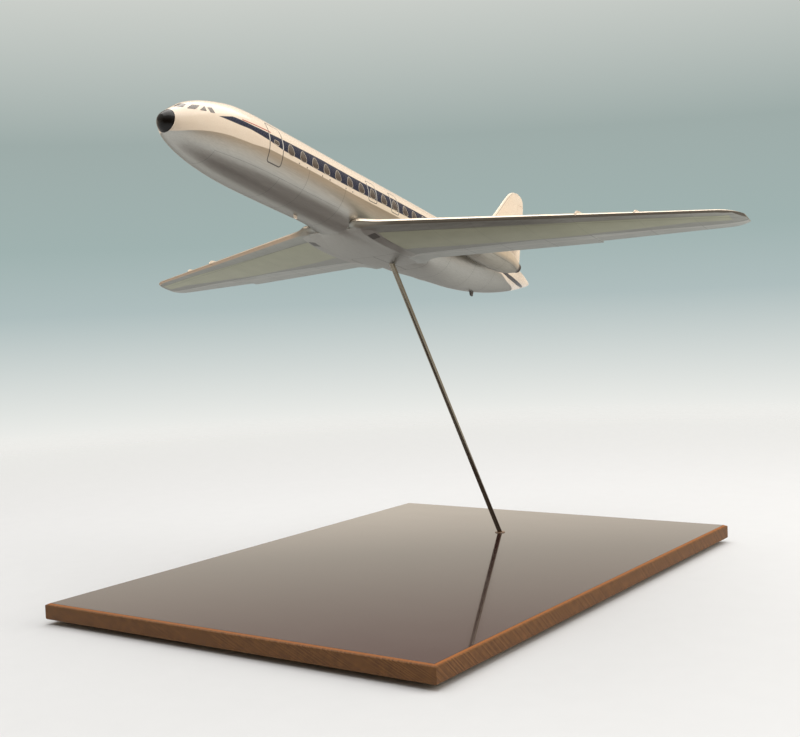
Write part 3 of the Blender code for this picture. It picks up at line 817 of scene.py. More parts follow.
# corners in station and z, seen from the side
COCKPIT_SIDE = (
    ((0.79, 0.32), (1.09, 0.59), (1.38, 0.64), (1.08, 0.35)),
    ((1.27, 0.38), (1.55, 0.66), (1.55, 0.41)),
    ((1.65, 0.63), (1.86, 0.69), (1.91, 0.44), (1.70, 0.41)),
)
# corners in y and z, seen from ahead
COCKPIT_FRONT = ((0.10, 0.38), (0.09, 0.60), (0.40, 0.575), (0.45, 0.34))
# station, z, half width, half height and corner radius, and the door's window as a window's row
DOOR = (5.24, 0.23, 0.44, 0.87, 0.12)
DOOR_WINDOW = (5.24, 0.29, 0.17, 0.11, 0.0, 4.0)
FILM_THICKNESS = 0.008
FILM_LIFT = 0.002
# flat outlines start from beside the hull and from ahead of it
BESIDE_Y = 2.2
AHEAD = -0.6


def outline(places):
    """A flat closed outline."""
    piece = start("outline", "circle", vertices=len(places), fill_type="NGON")
    with editing(piece):
        put_selected(piece, places)
    return piece


def polygon(corners, steps=5, ease=0.14):
    """A polygon's outline with its edges divided and its corners eased."""
    made = []
    for i, corner in enumerate(corners):
        corner, before, after = [Vector(corners[k % len(corners)]) for k in (i, i - 1, i + 1)]
        made.append(corner.lerp(before, ease))
        made.append(corner.lerp(before, ease * 0.3).lerp(corner.lerp(after, ease * 0.3), 0.5))
        made += [corner.lerp(after, ease + (1 - 2 * ease) * step / steps) for step in range(steps)]
    return made


def window_places(station, z, half_wide, half_high, egg, square, y):
    """A rounded outline, which is narrower at its top by the egg share."""
    places = []
    for i in range(WINDOW_POINTS):
        turn = 2 * pi * i / WINDOW_POINTS
        across, up = [copysign(abs(value) ** (2 / square), value) for value in (sin(turn), cos(turn))]
        places.append(point(station + half_wide * across * (1 - egg * up), y, z + half_high * up))
    return places


def joined(name, pieces):
    only(*pieces)
    bpy.ops.object.join()
    made = bpy.context.object
    made.name = made.data.name = name
    return made


def lay_on(piece, hull, axis, cuts):
    """Lays flat outlines on the hull along one axis, and gives them the thickness of a film."""
    with editing(piece):
        bpy.ops.mesh.quads_convert_to_tris(quad_method="BEAUTY", ngon_method="BEAUTY")
        bpy.ops.mesh.subdivide(number_cuts=cuts)
    use(
        piece, "SHRINKWRAP", target=hull, wrap_method="PROJECT", wrap_mode="ABOVE_SURFACE", offset=FILM_LIFT,
        use_project_x=axis == "x", use_project_y=axis == "y", use_project_z=False,
        use_negative_direction=True, use_positive_direction=True,
    )
    use(piece, "SOLIDIFY", thickness=FILM_THICKNESS, offset=0)
    with editing(piece):
        bpy.ops.mesh.normals_make_consistent(inside=False)


def make_windows(hull):
    """The cabin windows' rims and panes, and the cockpit's panes, laid on the hull."""
    flats = []
    for _, sign in SIDES:
        windows = [(station, WINDOW_Z, *WINDOW_SHAPE) for station in WINDOW_STATIONS]
        flats += [outline(window_places(*row, sign * BESIDE_Y)) for row in (*windows, DOOR_WINDOW)]
    rims = joined("cabin_window_rims", flats)
    with editing(rims):
        bpy.ops.mesh.select_mode(type="FACE")
        bpy.ops.mesh.inset(thickness=RIM_WIDTH, use_individual=True)
        bpy.ops.mesh.separate(type="SELECTED")
    panes = [piece for piece in bpy.context.selected_objects if piece != rims][0]
    panes.name = panes.data.name = "cabin_window_panes"
    lay_on(rims, hull, "y", 1)
    lay_on(panes, hull, "y", 3)
    sides, fronts = [], []
    for _, sign in SIDES:
        sides += [outline([point(s, sign * BESIDE_Y, z) for s, z in polygon(row)]) for row in COCKPIT_SIDE]
        fronts.append(outline([point(AHEAD, sign * y, z) for y, z in polygon(COCKPIT_FRONT)]))
    sides, fronts = joined("cockpit_sides", sides), joined("cockpit_fronts", fronts)
    lay_on(sides, hull, "y", 3)
    lay_on(fronts, hull, "x", 3)
    return rims, panes, joined("cockpit_panes", [fronts, sides])


# what the rod's holes have to spare around it, and how long the bars that cut them are
HOLE_CLEARANCE = 0.0001
HOLE_LENGTH = 0.05
SOCKET_GAP = 0.0005
SOCKET_LENGTH = 0.04


def bar(name, points, extra, depth, place):
    """A round bar along the rod's line, thicker than the rod by an extra radius."""
    size = {"vertices": points, "radius": ROD_RADIUS + extra, "depth": depth}
    return start(name, "cylinder", location=place, rotation=ROD_TURN, **size)


def make_board():
    """The laminate sheet with the rod's hole in it, the rod, and the ring round its foot."""
    sheet = start("laminate_sheet", "cube", size=1)
    with editing(sheet):
        size = (BOARD_LENGTH - 2 * STRIP_WIDTH, BOARD_WIDTH - 2 * STRIP_WIDTH, LAMINATE_THICKNESS)
        bpy.ops.transform.resize(value=size)
        bpy.ops.transform.translate(value=(0, 0, -LAMINATE_THICKNESS / 2))
    low, high = ROD_FOOT - ROD_ALONG * ROD_IN_BOARD, ROD_BELLY - BOARD_PLACE + ROD_ALONG * ROD_IN_BELLY
    rod = bar("rod_bar", 48, 0.0, (high - low).length, (low + high) / 2)
    ease_edges(rod, ROD_EASE, 3)
    hole = bar("hole", 48, HOLE_CLEARANCE, HOLE_LENGTH, ROD_FOOT)
    cut(sheet, hole)
    ease_edges(sheet, SHEET_EASE, 2, angle=60)
    size = {"radius1": RING_RADIUS, "radius2": RING_RADIUS * RING_TAPER, "depth": RING_HEIGHT}
    place = ROD_FOOT + UP * (RING_HEIGHT / 2 + RING_LIFT)
    ring = start("foot_ring", "cone", vertices=64, location=place, **size)
    ease_edges(ring, RING_EASE, 3, angle=50)
    cut(ring, hole)
    bpy.data.objects.remove(hole, do_unlink=True)
    return sheet, rod, ring


def belly_socket(hull):
    """The hole in the belly around the rod, with a thin dark gap."""
    socket = bar("socket", 40, SOCKET_GAP, SOCKET_LENGTH, ROD_BELLY)
    socket.data.transform(AIRCRAFT.inverted())
    cut(hull, socket)
    bpy.data.objects.remove(socket, do_unlink=True)


def any_of(fields):
    """The highest of several fields."""
    made, *rest = fields
    for field in rest:
        made = made | field
    return made


def from_box(s, z, middle_s, middle_z, half_wide, half_high, corner):
    """How far a point is outside a box with rounded corners. Inside it is negative."""
    out_s = abs(s - middle_s) - (half_wide - corner)
    out_z = abs(z - middle_z) - (half_high - corner)
    return ((out_s | 0.0) ** 2.0 + (out_z | 0.0) ** 2.0) ** 0.5 + ((out_s | out_z) & 0.0) - corner


EDGE_TINT = (0.42, 0.42, 0.42, 1.0)
FINE_SCALE = 22.0
SEAM_DEPTH = 0.00006
SEAM_STRENGTH = 0.6
UNDERSIDE_Z = -1.2
ROOT_MARK = (12.60, 1.70, 0.25, 0.21, 0.04)


def root_mark(s, y, z):
    """1 on the small dark square under each wing's root."""
    return (1 - from_box(s, abs(y), *ROOT_MARK).over(0.0, 0.01)) * (1 - z.over(UNDERSIDE_Z, 0.05))


# screen colours; a pair is the two shades that a finish is mixed from
WHITE = (246, 231, 211), (241, 223, 200)
COOL_METAL = (192, 191, 184), (162, 161, 155)
# the next pair is a painted warm reflection on the upper part of the hull's metal
METAL_WARM_REFLECTION = (190, 178, 161), (166, 154, 139)
NAVY = (36, 42, 62)
NAVY_AFT = (20, 25, 38)
RED = (178, 62, 44)
SEAM = (92, 90, 88)
LINE_ON_NAVY = (226, 222, 214)
LINE_ON_WHITE = (104, 96, 88)
MARK = (52, 48, 46)
# the line between white and metal, and the window band, by station and z
BOUNDARY = (
    (-0.1, -0.70), (0.28, -0.73), (0.49, -0.71), (0.91, -0.58), (1.33, -0.47), (1.77, -0.38), (2.29, -0.31),
    (2.69, -0.28), (3.83, -0.25), (4.86, -0.14), (8.33, -0.13), (10.8, -0.17), (13.0, -0.20), (22.0, -0.20),
    (24.4, -0.10), (26.0, -0.02), (26.5, -0.09), (27.2, -0.15), (28.8, -0.12), (32.0, -0.12),
)
BAND_TOP = (
    (2.05, 0.36), (2.79, 0.60), (3.94, 0.56), (4.78, 0.57), (5.78, 0.62), (8.44, 0.69), (10.9, 0.67),
    (13.2, 0.65), (18.9, 0.66), (22.5, 0.50), (26.9, 0.25), (28.4, 0.28), (29.5, 0.34), (30.2, 0.39),
    (30.6, 0.38), (32.0, 0.20),
)
BAND_BOTTOM = (
    (2.05, 0.36), (3.07, 0.32), (3.62, 0.33), (4.18, 0.28), (4.84, 0.22), (5.68, 0.11), (8.3, 0.06),
    (18.9, 0.05), (26.4, 0.06), (27.1, 0.04), (27.9, 0.06), (28.9, 0.12), (29.5, 0.20), (30.6, 0.39),
    (32.0, 0.39),
)
BAND_START = BAND_TOP[0][0]
PINSTRIPE = ((3.2, 0.625), (5.1, 0.66))
# a hatch: z, half width, half height and corner radius
HATCH = (0.40, 0.32, 0.50, 0.10)
HULL_RINGS = (7.58, 10.3, 19.9, 22.6, 25.0, 28.9)
LOW_SEAM_Z = -0.98
HIGH_SEAM_Z = 1.02
NOSE_WELL = (2.24, 5.95)
MAIN_WELL = (16.6, 0.0, 1.5, 1.35, 0.2)
# small dark ports under the band
PORT_STATIONS = (6.81, 7.38, 8.51, 9.07, 10.31, 10.84)
PORT_Z = -0.09


def livery():
    """White over satin metal, with a navy window band, thin seams and door lines, and a painted warm
    reflection on the metal.
    """
    gloss = {"Coat_Roughness": 0.08, "Coat_IOR": 1.5, "Specular_Tint": EDGE_TINT}
    f = Finish("airframe_livery", "airframe_paint", **gloss)
    s, y, z, vector, fine = f.aircraft()
    side = abs(y)
    mottle = f.noise(vector, 3.0, 4.0)
    streaks = f.noise(f.stretched(vector, 0.5, 9.0, 9.0), 3.0, 4.0)
    above = (z - f.graph(s, BOUNDARY)).over(0.0, 0.03)
    band = (z - f.graph(s, BAND_BOTTOM)).over(0.0, 0.02) & (f.graph(s, BAND_TOP) - z).over(0.0, 0.02)
    band = band & (s - BAND_START).over(0.0, 0.01)
    stripe = (z - f.graph(s, PINSTRIPE)).line(0.0, 0.028) * s.within(3.25, 4.95)
    door = from_box(s, z, *DOOR).line(0.0, 0.024)
    hatches = any_of(from_box(s, z, station, *HATCH).line(0.0, 0.02) for station in EXIT_STATIONS)
    edges = (door | hatches) & side.over(0.3, 0.1)
    rings = any_of(s.line(station, 0.012) for station in HULL_RINGS)
    low_seam = z.line(LOW_SEAM_Z, 0.006) * s.within(NOSE_WELL[0], HULL_RINGS[1])
    high_seam = z.line(HIGH_SEAM_Z, 0.012) * s.within(2.4, 26.0)
    nose_well = any_of(s.line(station, 0.011) for station in NOSE_WELL) * (1 - z.over(LOW_SEAM_Z, 0.01))
    wells = from_box(s, side, *MAIN_WELL).line(0.0, 0.016) | side.line(0.02, 0.014) * s.within(15.1, 18.1)
    seams = rings | low_seam | high_seam | nose_well | wells * (1 - z.over(UNDERSIDE_Z, 0.05))
    far = [((s - station) ** 2.0 + (z - PORT_Z) ** 2.0) ** 0.5 for station in PORT_STATIONS]
    ports = any_of(1 - distance.over(0.035, 0.02) for distance in far)
    # the metal's upper part is painted with a warm reflection; lower down it is cooler
    cool, warm = f.mix(streaks, *COOL_METAL), f.mix(streaks, *METAL_WARM_REFLECTION)
    metal = f.mix(z.over(-0.62, 0.7) * (1 - s.over(21.0, 4.0)) * s.over(0.9, 0.8), cool, warm)
    coat = f.mix(above, metal, f.mix(mottle, *WHITE))
    coat = f.mix(band, coat, f.mix(s.over(25.0, 1.0), NAVY, NAVY_AFT))
    coat = f.mix(stripe * 0.9, coat, RED)
    line_shade = f.mix(above * (1 - band), f.mix(band, SEAM, LINE_ON_NAVY), LINE_ON_WHITE)
    coat = f.mix(edges, coat, line_shade)
    coat = f.mix(seams * (0.30 + 0.16 * (1 - above)), coat, SEAM)
    coat = f.mix(ports * 0.85 | root_mark(s, y, z) * 0.6, coat, MARK)
    f.feed(
        Base_Color=coat,
        Metallic=(1 - above) * (1 - band) * 0.9,
        Roughness=0.22 + 0.06 * (1 - above) + 0.10 * fine + 0.12 * seams,
        Coat_Weight=above * (1 - band) * 0.5,
        Normal=f.seamed(fine * 0.25, seams + edges * 0.6),
    )
    return f


FIN_FRONT = tuple(row[:2] for row in FIN)


def enamel():
    """White enamel on the tail, the fences and the small blades, with the seams of elevator and fin."""
    f = Finish("white_enamel_coat", "airframe_paint", Coat_Weight=0.5, Coat_Roughness=0.08)
    s, y, z, vector, fine = f.aircraft()
    mottle = f.noise(vector, 3.0, 4.0)
    elevator = (s - abs(y) * 0.19).line(29.1, 0.013) * z.within(2.4, 3.1) * abs(y).over(0.5, 0.02)
    fin_edge = (s - f.graph(z, FIN_FRONT)).line(0.17, 0.018) * z.over(3.1, 0.1)
    seams = elevator | fin_edge
    f.feed(
        Base_Color=f.mix(seams * 0.6, f.mix(mottle, *WHITE), SEAM),
        Roughness=0.22 + 0.12 * fine,
        Normal=f.seamed(fine * 0.25, seams),
    )
    return f


# lines on the wing, by span and station
PANEL_FRONT = (
    (1.7, 12.2), (2.09, 12.49), (5.15, 13.63), (9.39, 15.23), (13.1, 16.6), (16.78, 18.12), (17.3, 18.35),
)
PANEL_REAR = (
    (1.7, 14.8), (1.91, 14.85), (4.26, 15.66), (5.41, 16.0), (8.59, 16.92), (10.44, 17.25), (12.67, 17.69),
    (14.87, 18.05), (16.68, 18.71), (17.3, 18.9),
)
FLAP_LINE = (
    (1.7, 15.87), (2.67, 16.01), (4.7, 16.31), (6.19, 16.52), (8.12, 16.83), (9.01, 17.09), (11.54, 17.75),
    (15.31, 18.75), (17.3, 19.2),
)
STREAK = ((2.23, 16.27), (4.91, 16.91), (10.14, 17.92), (13.38, 18.3), (15.04, 18.89), (17.3, 19.4))
FRONT_EDGE = ((1.6, 11.61), (16.2, 17.46), (16.8, 17.85), (17.15, 18.7))
PANEL_SPAN = (2.0, 16.6)
RIB_SPANS = (4.4, 6.2, 8.3, 10.4, 13.0, 15.2)
SILVER = (174, 175, 168), (150, 151, 145)
FLAP_SILVER = (198, 200, 194), (172, 175, 169)
OLIVE = (180, 182, 160), (162, 164, 143)
STREAK_SHADE = (205, 203, 196)
WING_SEAM = (66, 66, 62)
# the leading edge, painted with light: a painted reflection on its underside at the root, starboard and port,
# and a painted highlight on its top, dimmed to a painted shade at the starboard root, and full elsewhere
EDGE_UNDER_ROOT_REFLECTION = (150, 144, 132)
EDGE_UNDER_STARBOARD_REFLECTION = (198, 174, 150)
EDGE_UNDER_PORT_REFLECTION = (104, 97, 86)
EDGE_TOP_ROOT_SHADE = (150, 138, 122)
EDGE_TOP_HIGHLIGHT = (230, 216, 198)


def wing_metal():
    """Satin silver wings with an olive panel, seams, and a leading edge with a painted highlight and
    reflection.
    """
    f = Finish("wing_silver", "wing_paint", Coat_Roughness=0.12, Specular_Tint=EDGE_TINT)
    s, y, z, vector, fine = f.aircraft()
    side = abs(y)
    mottle = f.noise(vector, 1.2, 4.0)
    streaks = f.noise(f.stretched(vector, 2.5, 0.6, 1.0), 2.5, 4.0)
    behind = s - f.graph(side, FRONT_EDGE)
    chord_line = WING_Z + WING_DIHEDRAL * (side - WING_BODY_Y) - WING_INCIDENCE * behind
    under = 1 - (z - chord_line).over(0.0, 0.02)
    past_front = s - f.graph(side, PANEL_FRONT)
    panel = past_front.over(0.0, 0.03) & (f.graph(side, PANEL_REAR) - s).over(0.0, 0.03)
    panel = panel & side.over(PANEL_SPAN[0], 0.03) & (1 - side.over(PANEL_SPAN[1], 0.03))
    nose = (1 - behind.over(0.12, 0.06)) * side.over(1.2, 0.3)
    past_hinge = s - f.graph(side, FLAP_LINE)
    hinge, aft = past_hinge.line(0.0, 0.014), past_hinge.over(0.0, 0.02)
    streak = (s - f.graph(side, STREAK)).line(0.0, 0.07)
    ribs = any_of(side.line(place, 0.012) for place in RIB_SPANS)
    seams = hinge | ribs * (aft | 0.35) | behind.line(0.62, 0.012) | past_front.line(0.0, 0.012)
    silver = f.mix(aft, f.mix(streaks, *SILVER), f.mix(streaks, *FLAP_SILVER))
    shade = f.mix(panel, silver, f.mix(mottle, *OLIVE))
    shade = f.mix(streak * 0.5, shade, STREAK_SHADE)
    # the leading edge's colours are painted light: a highlight on top, a darker reflection underneath, by
    # side and root
    port, far = y.over(0.0, 1.0), side.over(2.4, 1.0)
    below = f.mix(far, EDGE_UNDER_ROOT_REFLECTION, f.mix(port, EDGE_UNDER_STARBOARD_REFLECTION, EDGE_UNDER_PORT_REFLECTION))
    above = f.mix(port | far, EDGE_TOP_ROOT_SHADE, EDGE_TOP_HIGHLIGHT)
    shade = f.mix(nose, shade, f.mix(under, above, below))
    shade = f.mix(seams * 0.5 + hinge * 0.3, shade, WING_SEAM)
    shade = f.mix(root_mark(s, y, z) * 0.6, shade, MARK)
    f.feed(
        Base_Color=shade,
        Metallic=0.78 - 0.35 * panel - 0.18 * nose,
        Roughness=0.30 + 0.10 * fine + 0.08 * panel,
        Normal=f.seamed(fine * 0.25, seams),
    )
    return f


POD_METAL = (178, 174, 162), (150, 146, 136)
POD_CREAM = (204, 188, 164)
POD_LIP = (206, 205, 202)
POD_RIM = (70, 64, 58)
POD_LIP_END = 20.22
POD_RIM_START = 25.05
POD_SEAMS = (20.75, 23.05)
POD_SEAM_Z = -0.22


def nacelle_coat():
    """Satin metal below, warm cream above, a bright lip, and a dark rim at the back."""
    f = Finish("nacelle_coat", "wing_paint", Coat_Roughness=0.12, Specular_Tint=EDGE_TINT)
    s, y, z, vector, fine = f.aircraft()
    streaks = f.noise(f.stretched(vector, 0.6, 5.0, 5.0), 3.0, 4.0)
    upper = z.over(-0.10, 0.25)
    lip = 1 - s.over(POD_LIP_END, 0.02)
    seams = any_of(s.line(station, 0.012) for station in POD_SEAMS) | z.line(POD_SEAM_Z, 0.012)
    shade = f.mix(upper, f.mix(streaks, *POD_METAL), POD_CREAM)
    shade = f.mix(lip, shade, POD_LIP)
    shade = f.mix(seams * 0.45, shade, SEAM)
    shade = f.mix(s.over(POD_RIM_START, 0.03) * 0.8, shade, POD_RIM)
    f.feed(
        Base_Color=shade,
        Metallic=0.80 - 0.70 * upper * (1 - lip),
        Roughness=0.26 + 0.12 * fine,
        Normal=f.seamed(fine * 0.2, seams),
    )
    return f


def plain(name, slot, shades, scale, roughness, spread=0.1, depth=0.00003, **constants):
    """A finish with a fine grain: two shades, an uneven gloss and a small relief."""
    f = Finish(name, slot, **constants)
    place = f.place()
    grain, wide = f.noise(place, scale, 4.0), f.noise(place, scale / 9, 3.0)
    f.feed(
        Base_Color=f.mix(0.6 * grain + 0.4 * wide, *shades),
        Roughness=roughness + spread * (grain - 0.5),
        Normal=f.bump(grain, depth, 0.5),
    )
    return f


LAMINATE = (62, 40, 36), (48, 31, 29)
DUST = (150, 138, 126)


def laminate():
    """Glossy dark brown sheet with a faint straight grain, fine dust and wipe marks."""
    gloss = {"Coat_Weight": 1.0, "Coat_Roughness": 0.015, "Coat_IOR": 1.6, "Specular_IOR_Level": 0.7}
    f = Finish("brown_laminate_sheet", "laminate", **gloss)
    place = f.place()
    grain = f.noise(f.stretched(place, 6, 90, 90), 9.0, 4.0)
    dust = f.noise(place, 900.0, 2.0).over(0.72, 0.05)
    wipes = f.noise(f.stretched(place, 18, 9, 9), 2.2, 3.0)
    shade = f.mix(dust * 0.25, f.mix(grain, *LAMINATE), DUST)
    f.feed(Base_Color=shade, Roughness=0.06 + 0.10 * wipes + 0.2 * dust)
    return f


WOOD = (134, 90, 46), (84, 54, 28)
WOOD_PORE = (44, 29, 18)
WOOD_EVEN = (105, 71, 37)
WOOD_CHAMFER = (164, 100, 46)
CHAMFER_Z = 0.0186


def edge_wood():
    """Brown board edges: fine slanted fibres, and a lighter chamfer along the top."""
    f = Finish("brown_edge_wood", "edge_wood", Specular_IOR_Level=0.3)
    place = f.place()
    x, y, z = f.parts(place)
    turn = 2 * (abs(f.parts(f.node("NewGeometry", output="Normal"))[1]) > 0.5) - 1
    along = x + y + (0.6 - 1.7 * turn) * z
    settings = {"W": along, "Scale": 560.0, "Detail": 3.0, "Roughness": 0.6}
    fibres = f.node("TexNoise", {"noise_dimensions": "1D"}, settings)
    breaks, pores, wide = f.noise(place, 160.0, 3.0), f.noise(place, 1500.0, 2.0), f.noise(place, 12.0, 3.0)
    dark = (fibres + 0.35 * (breaks - 0.5)).over(0.50, 0.22)
    shade = f.mix(dark, *WOOD)
    shade = f.mix(pores.over(0.60, 0.08) * 0.4, shade, WOOD_PORE)
    shade = f.mix(wide * 0.4, shade, WOOD_EVEN)
    shade = f.mix(z.over(CHAMFER_Z, 0.0006) * 0.85, shade, WOOD_CHAMFER)
    f.feed(Base_Color=shade, Roughness=0.45 + 0.2 * fibres, Normal=f.bump(breaks - dark, 0.00008, 0.5))
    return f


STEEL = (146, 140, 126), (118, 112, 98)
STEEL_FOOT_SHADE = (98, 88, 75)
STEEL_SPOT = (112, 102, 88)


def rod_steel():
    """Drawn steel: fine lines along the rod, small dull spots, and a painted shade that darkens its lower
    part.
    """
    f = Finish("drawn_steel", "rod_steel", Metallic=1.0)
    place = f.place()
    turn = UP.rotation_difference(ROD_ALONG).to_euler()
    along = f.node("Mapping", {"vector_type": "TEXTURE"}, {"Vector": place, "Rotation": turn})
    lines = f.noise(f.stretched(along, 700, 700, 8), 1.0, 1.0)
    spots = f.noise(along, 160.0, 1.0)
    # the rod's lower part is painted darker: a painted shade
    shade = f.mix(1 - f.parts(place)[2].over(0.09, 0.07), f.mix(lines, *STEEL), STEEL_FOOT_SHADE)
    shade = f.mix(spots.over(0.62, 0.12) * 0.25, shade, STEEL_SPOT)
    roughness = 0.16 + 0.10 * lines + 0.08 * spots
    f.feed(Base_Color=shade, Roughness=roughness, Normal=f.bump(lines, 0.00001, 0.1))
    return f


# how far in from the board's edge and how far below its top, round a strip
STRIP_PROFILE = (
    (STRIP_WIDTH, -0.015), (0.0016, -0.015), (0.0006, -0.0146), (0.0, -0.0136), (0.0, -0.0019),
    (0.0003, -0.0014), (STRIP_WIDTH, -0.00004),
)


def make_strips():
    """Edge strips around the board, mitred at its corners, with their edges eased."""
    strips = []
    sizes = (BOARD_LENGTH / 2, BOARD_WIDTH / 2)
    for quarter, name in enumerate(("front", "port", "rear", "starboard")):
        out, half = sizes[quarter % 2], sizes[1 - quarter % 2]
        rings = []
        for end in (-1, 1):
            rings.append([Vector((out - inward, end * (half - inward), z)) for inward, z in STRIP_PROFILE])
        strip = skin(f"strip_{name}", rings)
        strip.data.transform(BOARD @ Matrix.Rotation(quarter * pi / 2, 4, "Z"))
        ease_edges(strip, STRIP_EASE, 2)
        strips.append((strip, f"edge_strip_{name}"))
    return strips


FOOT_RADII = (0.0092, 0.010)
FOOT_HEIGHT = 0.0042
FOOT_RIM = 0.003
FOOT_HOLLOW = 0.0006
FOOT_IN = 0.045


def make_feet():
    """Four round rubber feet with eased rims and a shallow hollow underneath."""
    feet = []
    low, high = FOOT_RADII
    first = start("foot", "cone", vertices=64, radius1=low, radius2=high, depth=FOOT_HEIGHT)
    with editing(first):
        pick_faces(first, lambda face: face.normal.z < -0.9)
        bpy.ops.mesh.inset(thickness=FOOT_RIM)
        bpy.ops.mesh.extrude_region_move(TRANSFORM_OT_translate={"value": (0, 0, FOOT_HOLLOW)})
    ease_edges(first, FOOT_EASE, 3, angle=50)
    for front, end in (("front", 1), ("rear", -1)):
        for side, sign in SIDES:
            foot = twin(first, f"rubber_foot_{front}_{side}")
            inward = Vector((end * (BOARD_LENGTH / 2 - FOOT_IN), sign * (BOARD_WIDTH / 2 - FOOT_IN), 0))
            place = BOARD_PLACE + inward
            foot.data.transform(Matrix.Translation((place.x, place.y, FOOT_HEIGHT / 2)))
            feet.append((foot, f"foot_{front}_{side}"))
    bpy.data.objects.remove(first, do_unlink=True)
    return feet


CAMERA_PLACE = Vector((1.00518, 0.71760, 0.28243))
CAMERA_AZIMUTH = radians(215.096)
CAMERA_DROP = radians(3.116)
CAMERA_ROLL = radians(-2.518)
CAMERA_LENS = 55.8
CAMERA_NEAR = 0.01


def make_camera():
    """The camera at the photograph's viewing angle, looking a little down and tilted."""
    camera = bpy.data.objects.new("camera", bpy.data.cameras.new("camera"))
    bpy.context.scene.collection.objects.link(camera)
    camera.data.lens = CAMERA_LENS
    camera.data.sensor_width = 36
    camera.data.clip_start = CAMERA_NEAR
    a, drop = CAMERA_AZIMUTH, CAMERA_DROP
    ahead = Vector((cos(a) * cos(drop), sin(a) * cos(drop), -sin(drop)))
    right = ahead.cross(UP).normalized()
    up = right.cross(ahead)
    level, tilt = cos(CAMERA_ROLL), sin(CAMERA_ROLL)
    right, up = right * level + up * tilt, up * level - right * tilt
    turn = Matrix((right, up, -ahead)).transposed().to_4x4()
    camera.matrix_world = Matrix.Translation(CAMERA_PLACE) @ turn
    bpy.context.scene.camera = camera


# sine of the height above the horizon, and the backdrop's shade there
BACKDROP = (
    (-0.10, (240, 240, 236)), (0.0, (175, 190, 190)), (0.05, (160, 178, 176)), (0.13, (158, 172, 169)),
    (0.30, (224, 224, 218)),
)
# the same for the room's soft light, which the gloss of the board and the metal shows
ROOM = (
    (-0.30, (226, 224, 220)), (-0.02, (242, 226, 206)), (0.17, (234, 224, 208)), (0.20, (196, 189, 176)),
    (0.28, (150, 134, 126)), (0.36, (196, 186, 174)), (0.90, (242, 236, 230)),
)
# the darker end of the room: the direction to it, and its shade
DIM_SIDE = (0.82, 0.57)
DIM_SHADE = (96, 76, 58)
BLACK = (0, 0, 0)
FLOOR = (220, 223, 226), (217, 220, 223)
FLOOR_RADIUS = 3.4
FLOOR_FADE = (1.35, 1.2)
# place, size, power and tint
LAMPS = {
    "overhead": ((-0.1, -0.1, 2.3), 3.0, 66.0, (1.0, 0.98, 0.95)),
    "port_fill": ((-0.9, 1.9, 1.1), 1.3, 19.0, (1.0, 0.93, 0.84)),
}
LAMP_AIM = Vector((0, 0, 0.2))


def make_studio():
    """A pale floor that fades into a soft backdrop, and large soft lights."""
    scene = bpy.context.scene
    scene.view_settings.view_transform = "Standard"
    f = Finish("studio", kind="worlds", shader="Background")
    scene.world = f.block
    ahead, beside, height = f.parts(f.node("TexCoord", output="Generated"))
    dim = (DIM_SIDE[0] * ahead + DIM_SIDE[1] * beside).over(0.55, 0.7) * (1 - abs(height).over(0.45, 0.5))
    shades = []
    for table in (ROOM, BACKDROP):
        low, high = table[0][0], table[-1][0]
        stops = [((place - low) / (high - low), rgba(shade)) for place, shade in table]
        shades.append(f.node("ValToRGB", {"stops": stops}, {0: (height - low) / (high - low)}))
    room, backdrop = shades
    room = f.mix(dim, room, DIM_SHADE)
    room = f.mix(f.node("LightPath", output="Is Diffuse Ray") * 0.5, room, BLACK)
    f.feed(Color=f.mix(f.node("LightPath", output="Is Camera Ray"), room, backdrop))

    floor = start("studio_floor", "circle", vertices=96, radius=FLOOR_RADIUS, fill_type="NGON")
    g = Finish("pale_floor", Roughness=0.75, Specular_IOR_Level=0.2)
    place = g.place()
    x, y, _ = g.parts(place)
    fade = 1 - ((x ** 2.0 + y ** 2.0) ** 0.5).over(*FLOOR_FADE)
    g.feed(Base_Color=g.mix(g.noise(place, 40.0, 3.0), *FLOOR), Alpha=fade)
    floor.data.materials.append(g.block)

    for name, (place, size, power, tint) in LAMPS.items():
        lamp = bpy.data.lights.new(name, "AREA")
        lamp.size, lamp.energy, lamp.color = size, power, tint
        light = bpy.data.objects.new(name, lamp)
        light.visible_glossy = name == "overhead"
        scene.collection.objects.link(light)
        aim = (LAMP_AIM - Vector(place)).to_track_quat("-Z", "Y")
        light.matrix_world = Matrix.Translation(place) @ aim.to_matrix().to_4x4()


NOSE_BLACK = (9, 8, 7), (16, 14, 12)
GLASS = (92, 80, 68), (70, 62, 54)
SCREEN = (84, 68, 52), (66, 54, 42)
RIM = (206, 196, 180), (186, 174, 158)
MAST = (46, 43, 40), (62, 58, 54)
BURNT = (74, 64, 54), (48, 41, 36)
FAN_GREY = (84, 84, 86), (60, 60, 62)
RUBBER = (30, 29, 28), (44, 42, 40)
RING_BROWN = (168, 140, 116), (120, 92, 70)
CHIPBOARD = (168, 138, 98), (120, 92, 60)


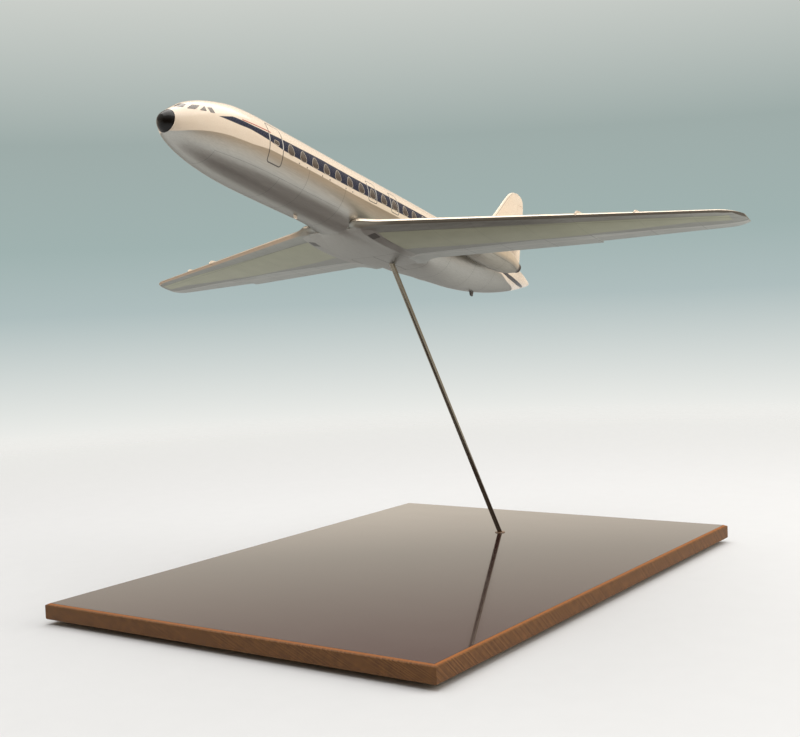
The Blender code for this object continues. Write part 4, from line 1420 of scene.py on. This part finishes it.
def make_aircraft():
    """The hull with its windows, the tail, both wings and engines, and the small blades."""
    coat, white, silver, pods = livery(), enamel(), wing_metal(), nacelle_coat()
    black = plain("black_gloss_nose", "radome_gloss", NOSE_BLACK, 400.0, 0.24, 0.08, Specular_IOR_Level=0.3)
    glass = plain("window_glass", "dark_paint", GLASS, 300.0, 0.08, 0.06, Coat_Weight=0.8)
    screen = plain("windscreen_glass", "dark_paint", SCREEN, 300.0, 0.12, 0.06, Coat_Weight=0.3)
    rim = plain("window_rim", "airframe_paint", RIM, 500.0, 0.30)
    dark = plain("dark_mast", "dark_paint", MAST, 500.0, 0.45)
    burnt = plain("burnt_steel", "exhaust_steel", BURNT, 220.0, 0.38, 0.2, Metallic=0.9)
    fan_metal = plain("fan_metal", "dark_paint", FAN_GREY, 300.0, 0.35, Metallic=0.9)

    hull = make_hull()
    belly_socket(hull)
    radome = make_radome()
    rims, panes, cockpit = make_windows(hull)
    done(hull, coat, "fuselage")
    done(radome, black, "radome")
    done(rims, rim)
    done(panes, glass)
    done(cockpit, screen)
    fin, rudder = make_fin()
    done(fin, white, "fin")
    done(rudder, white, "rudder")
    done(make_fairing(), coat)
    for side, sign in SIDES:
        done(make_wing(side, sign), silver, f"wing_{side}")
        done(make_tailplane(side, sign), white, f"tailplane_{side}")
        nacelle, pipe, fan, pylon = make_engine(side, sign)
        done(nacelle, pods, f"nacelle_{side}")
        done(pipe, burnt, f"exhaust_pipe_{side}")
        done(fan, fan_metal, f"intake_face_{side}")
        done(pylon, pods, f"pylon_{side}")
        for name, drop in FENCE_DROPS.items():
            done(make_fence(name, side, drop), white, f"fence_{name}_{side}", place=None)
    for name, row in BLADES.items():
        done(make_blade(name, row), dark if name == "tail_mast" else white, name)


def make_stand():
    """The laminated board with its edges and feet, the rod and its ring. The CAD's core stays."""
    wood, steel, sheet_coat = edge_wood(), rod_steel(), laminate()
    rubber = plain("foot_rubber_black", "foot_rubber", RUBBER, 700.0, 0.75, depth=0.00008)
    brown = plain("brown_ring_plastic", "brown_ring", RING_BROWN, 500.0, 0.35)
    chips = plain("chipboard_core", "", CHIPBOARD, 260.0, 0.8, depth=0.0002)

    sheet, rod, ring = make_board()
    done(sheet, sheet_coat, "top_laminate", place=BOARD, angle=5)
    done(rod, steel, "rod", place=BOARD)
    done(ring, brown, "rod_ring", place=BOARD)
    for strip, node in make_strips():
        done(strip, wood, node, place=None, angle=5)
    for foot, node in make_feet():
        done(foot, rubber, node, place=None)
    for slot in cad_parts["board_core"].material_slots:
        slot.material = chips.block


make_aircraft()
make_stand()
make_studio()
make_camera()
bpy.context.view_layer.update()
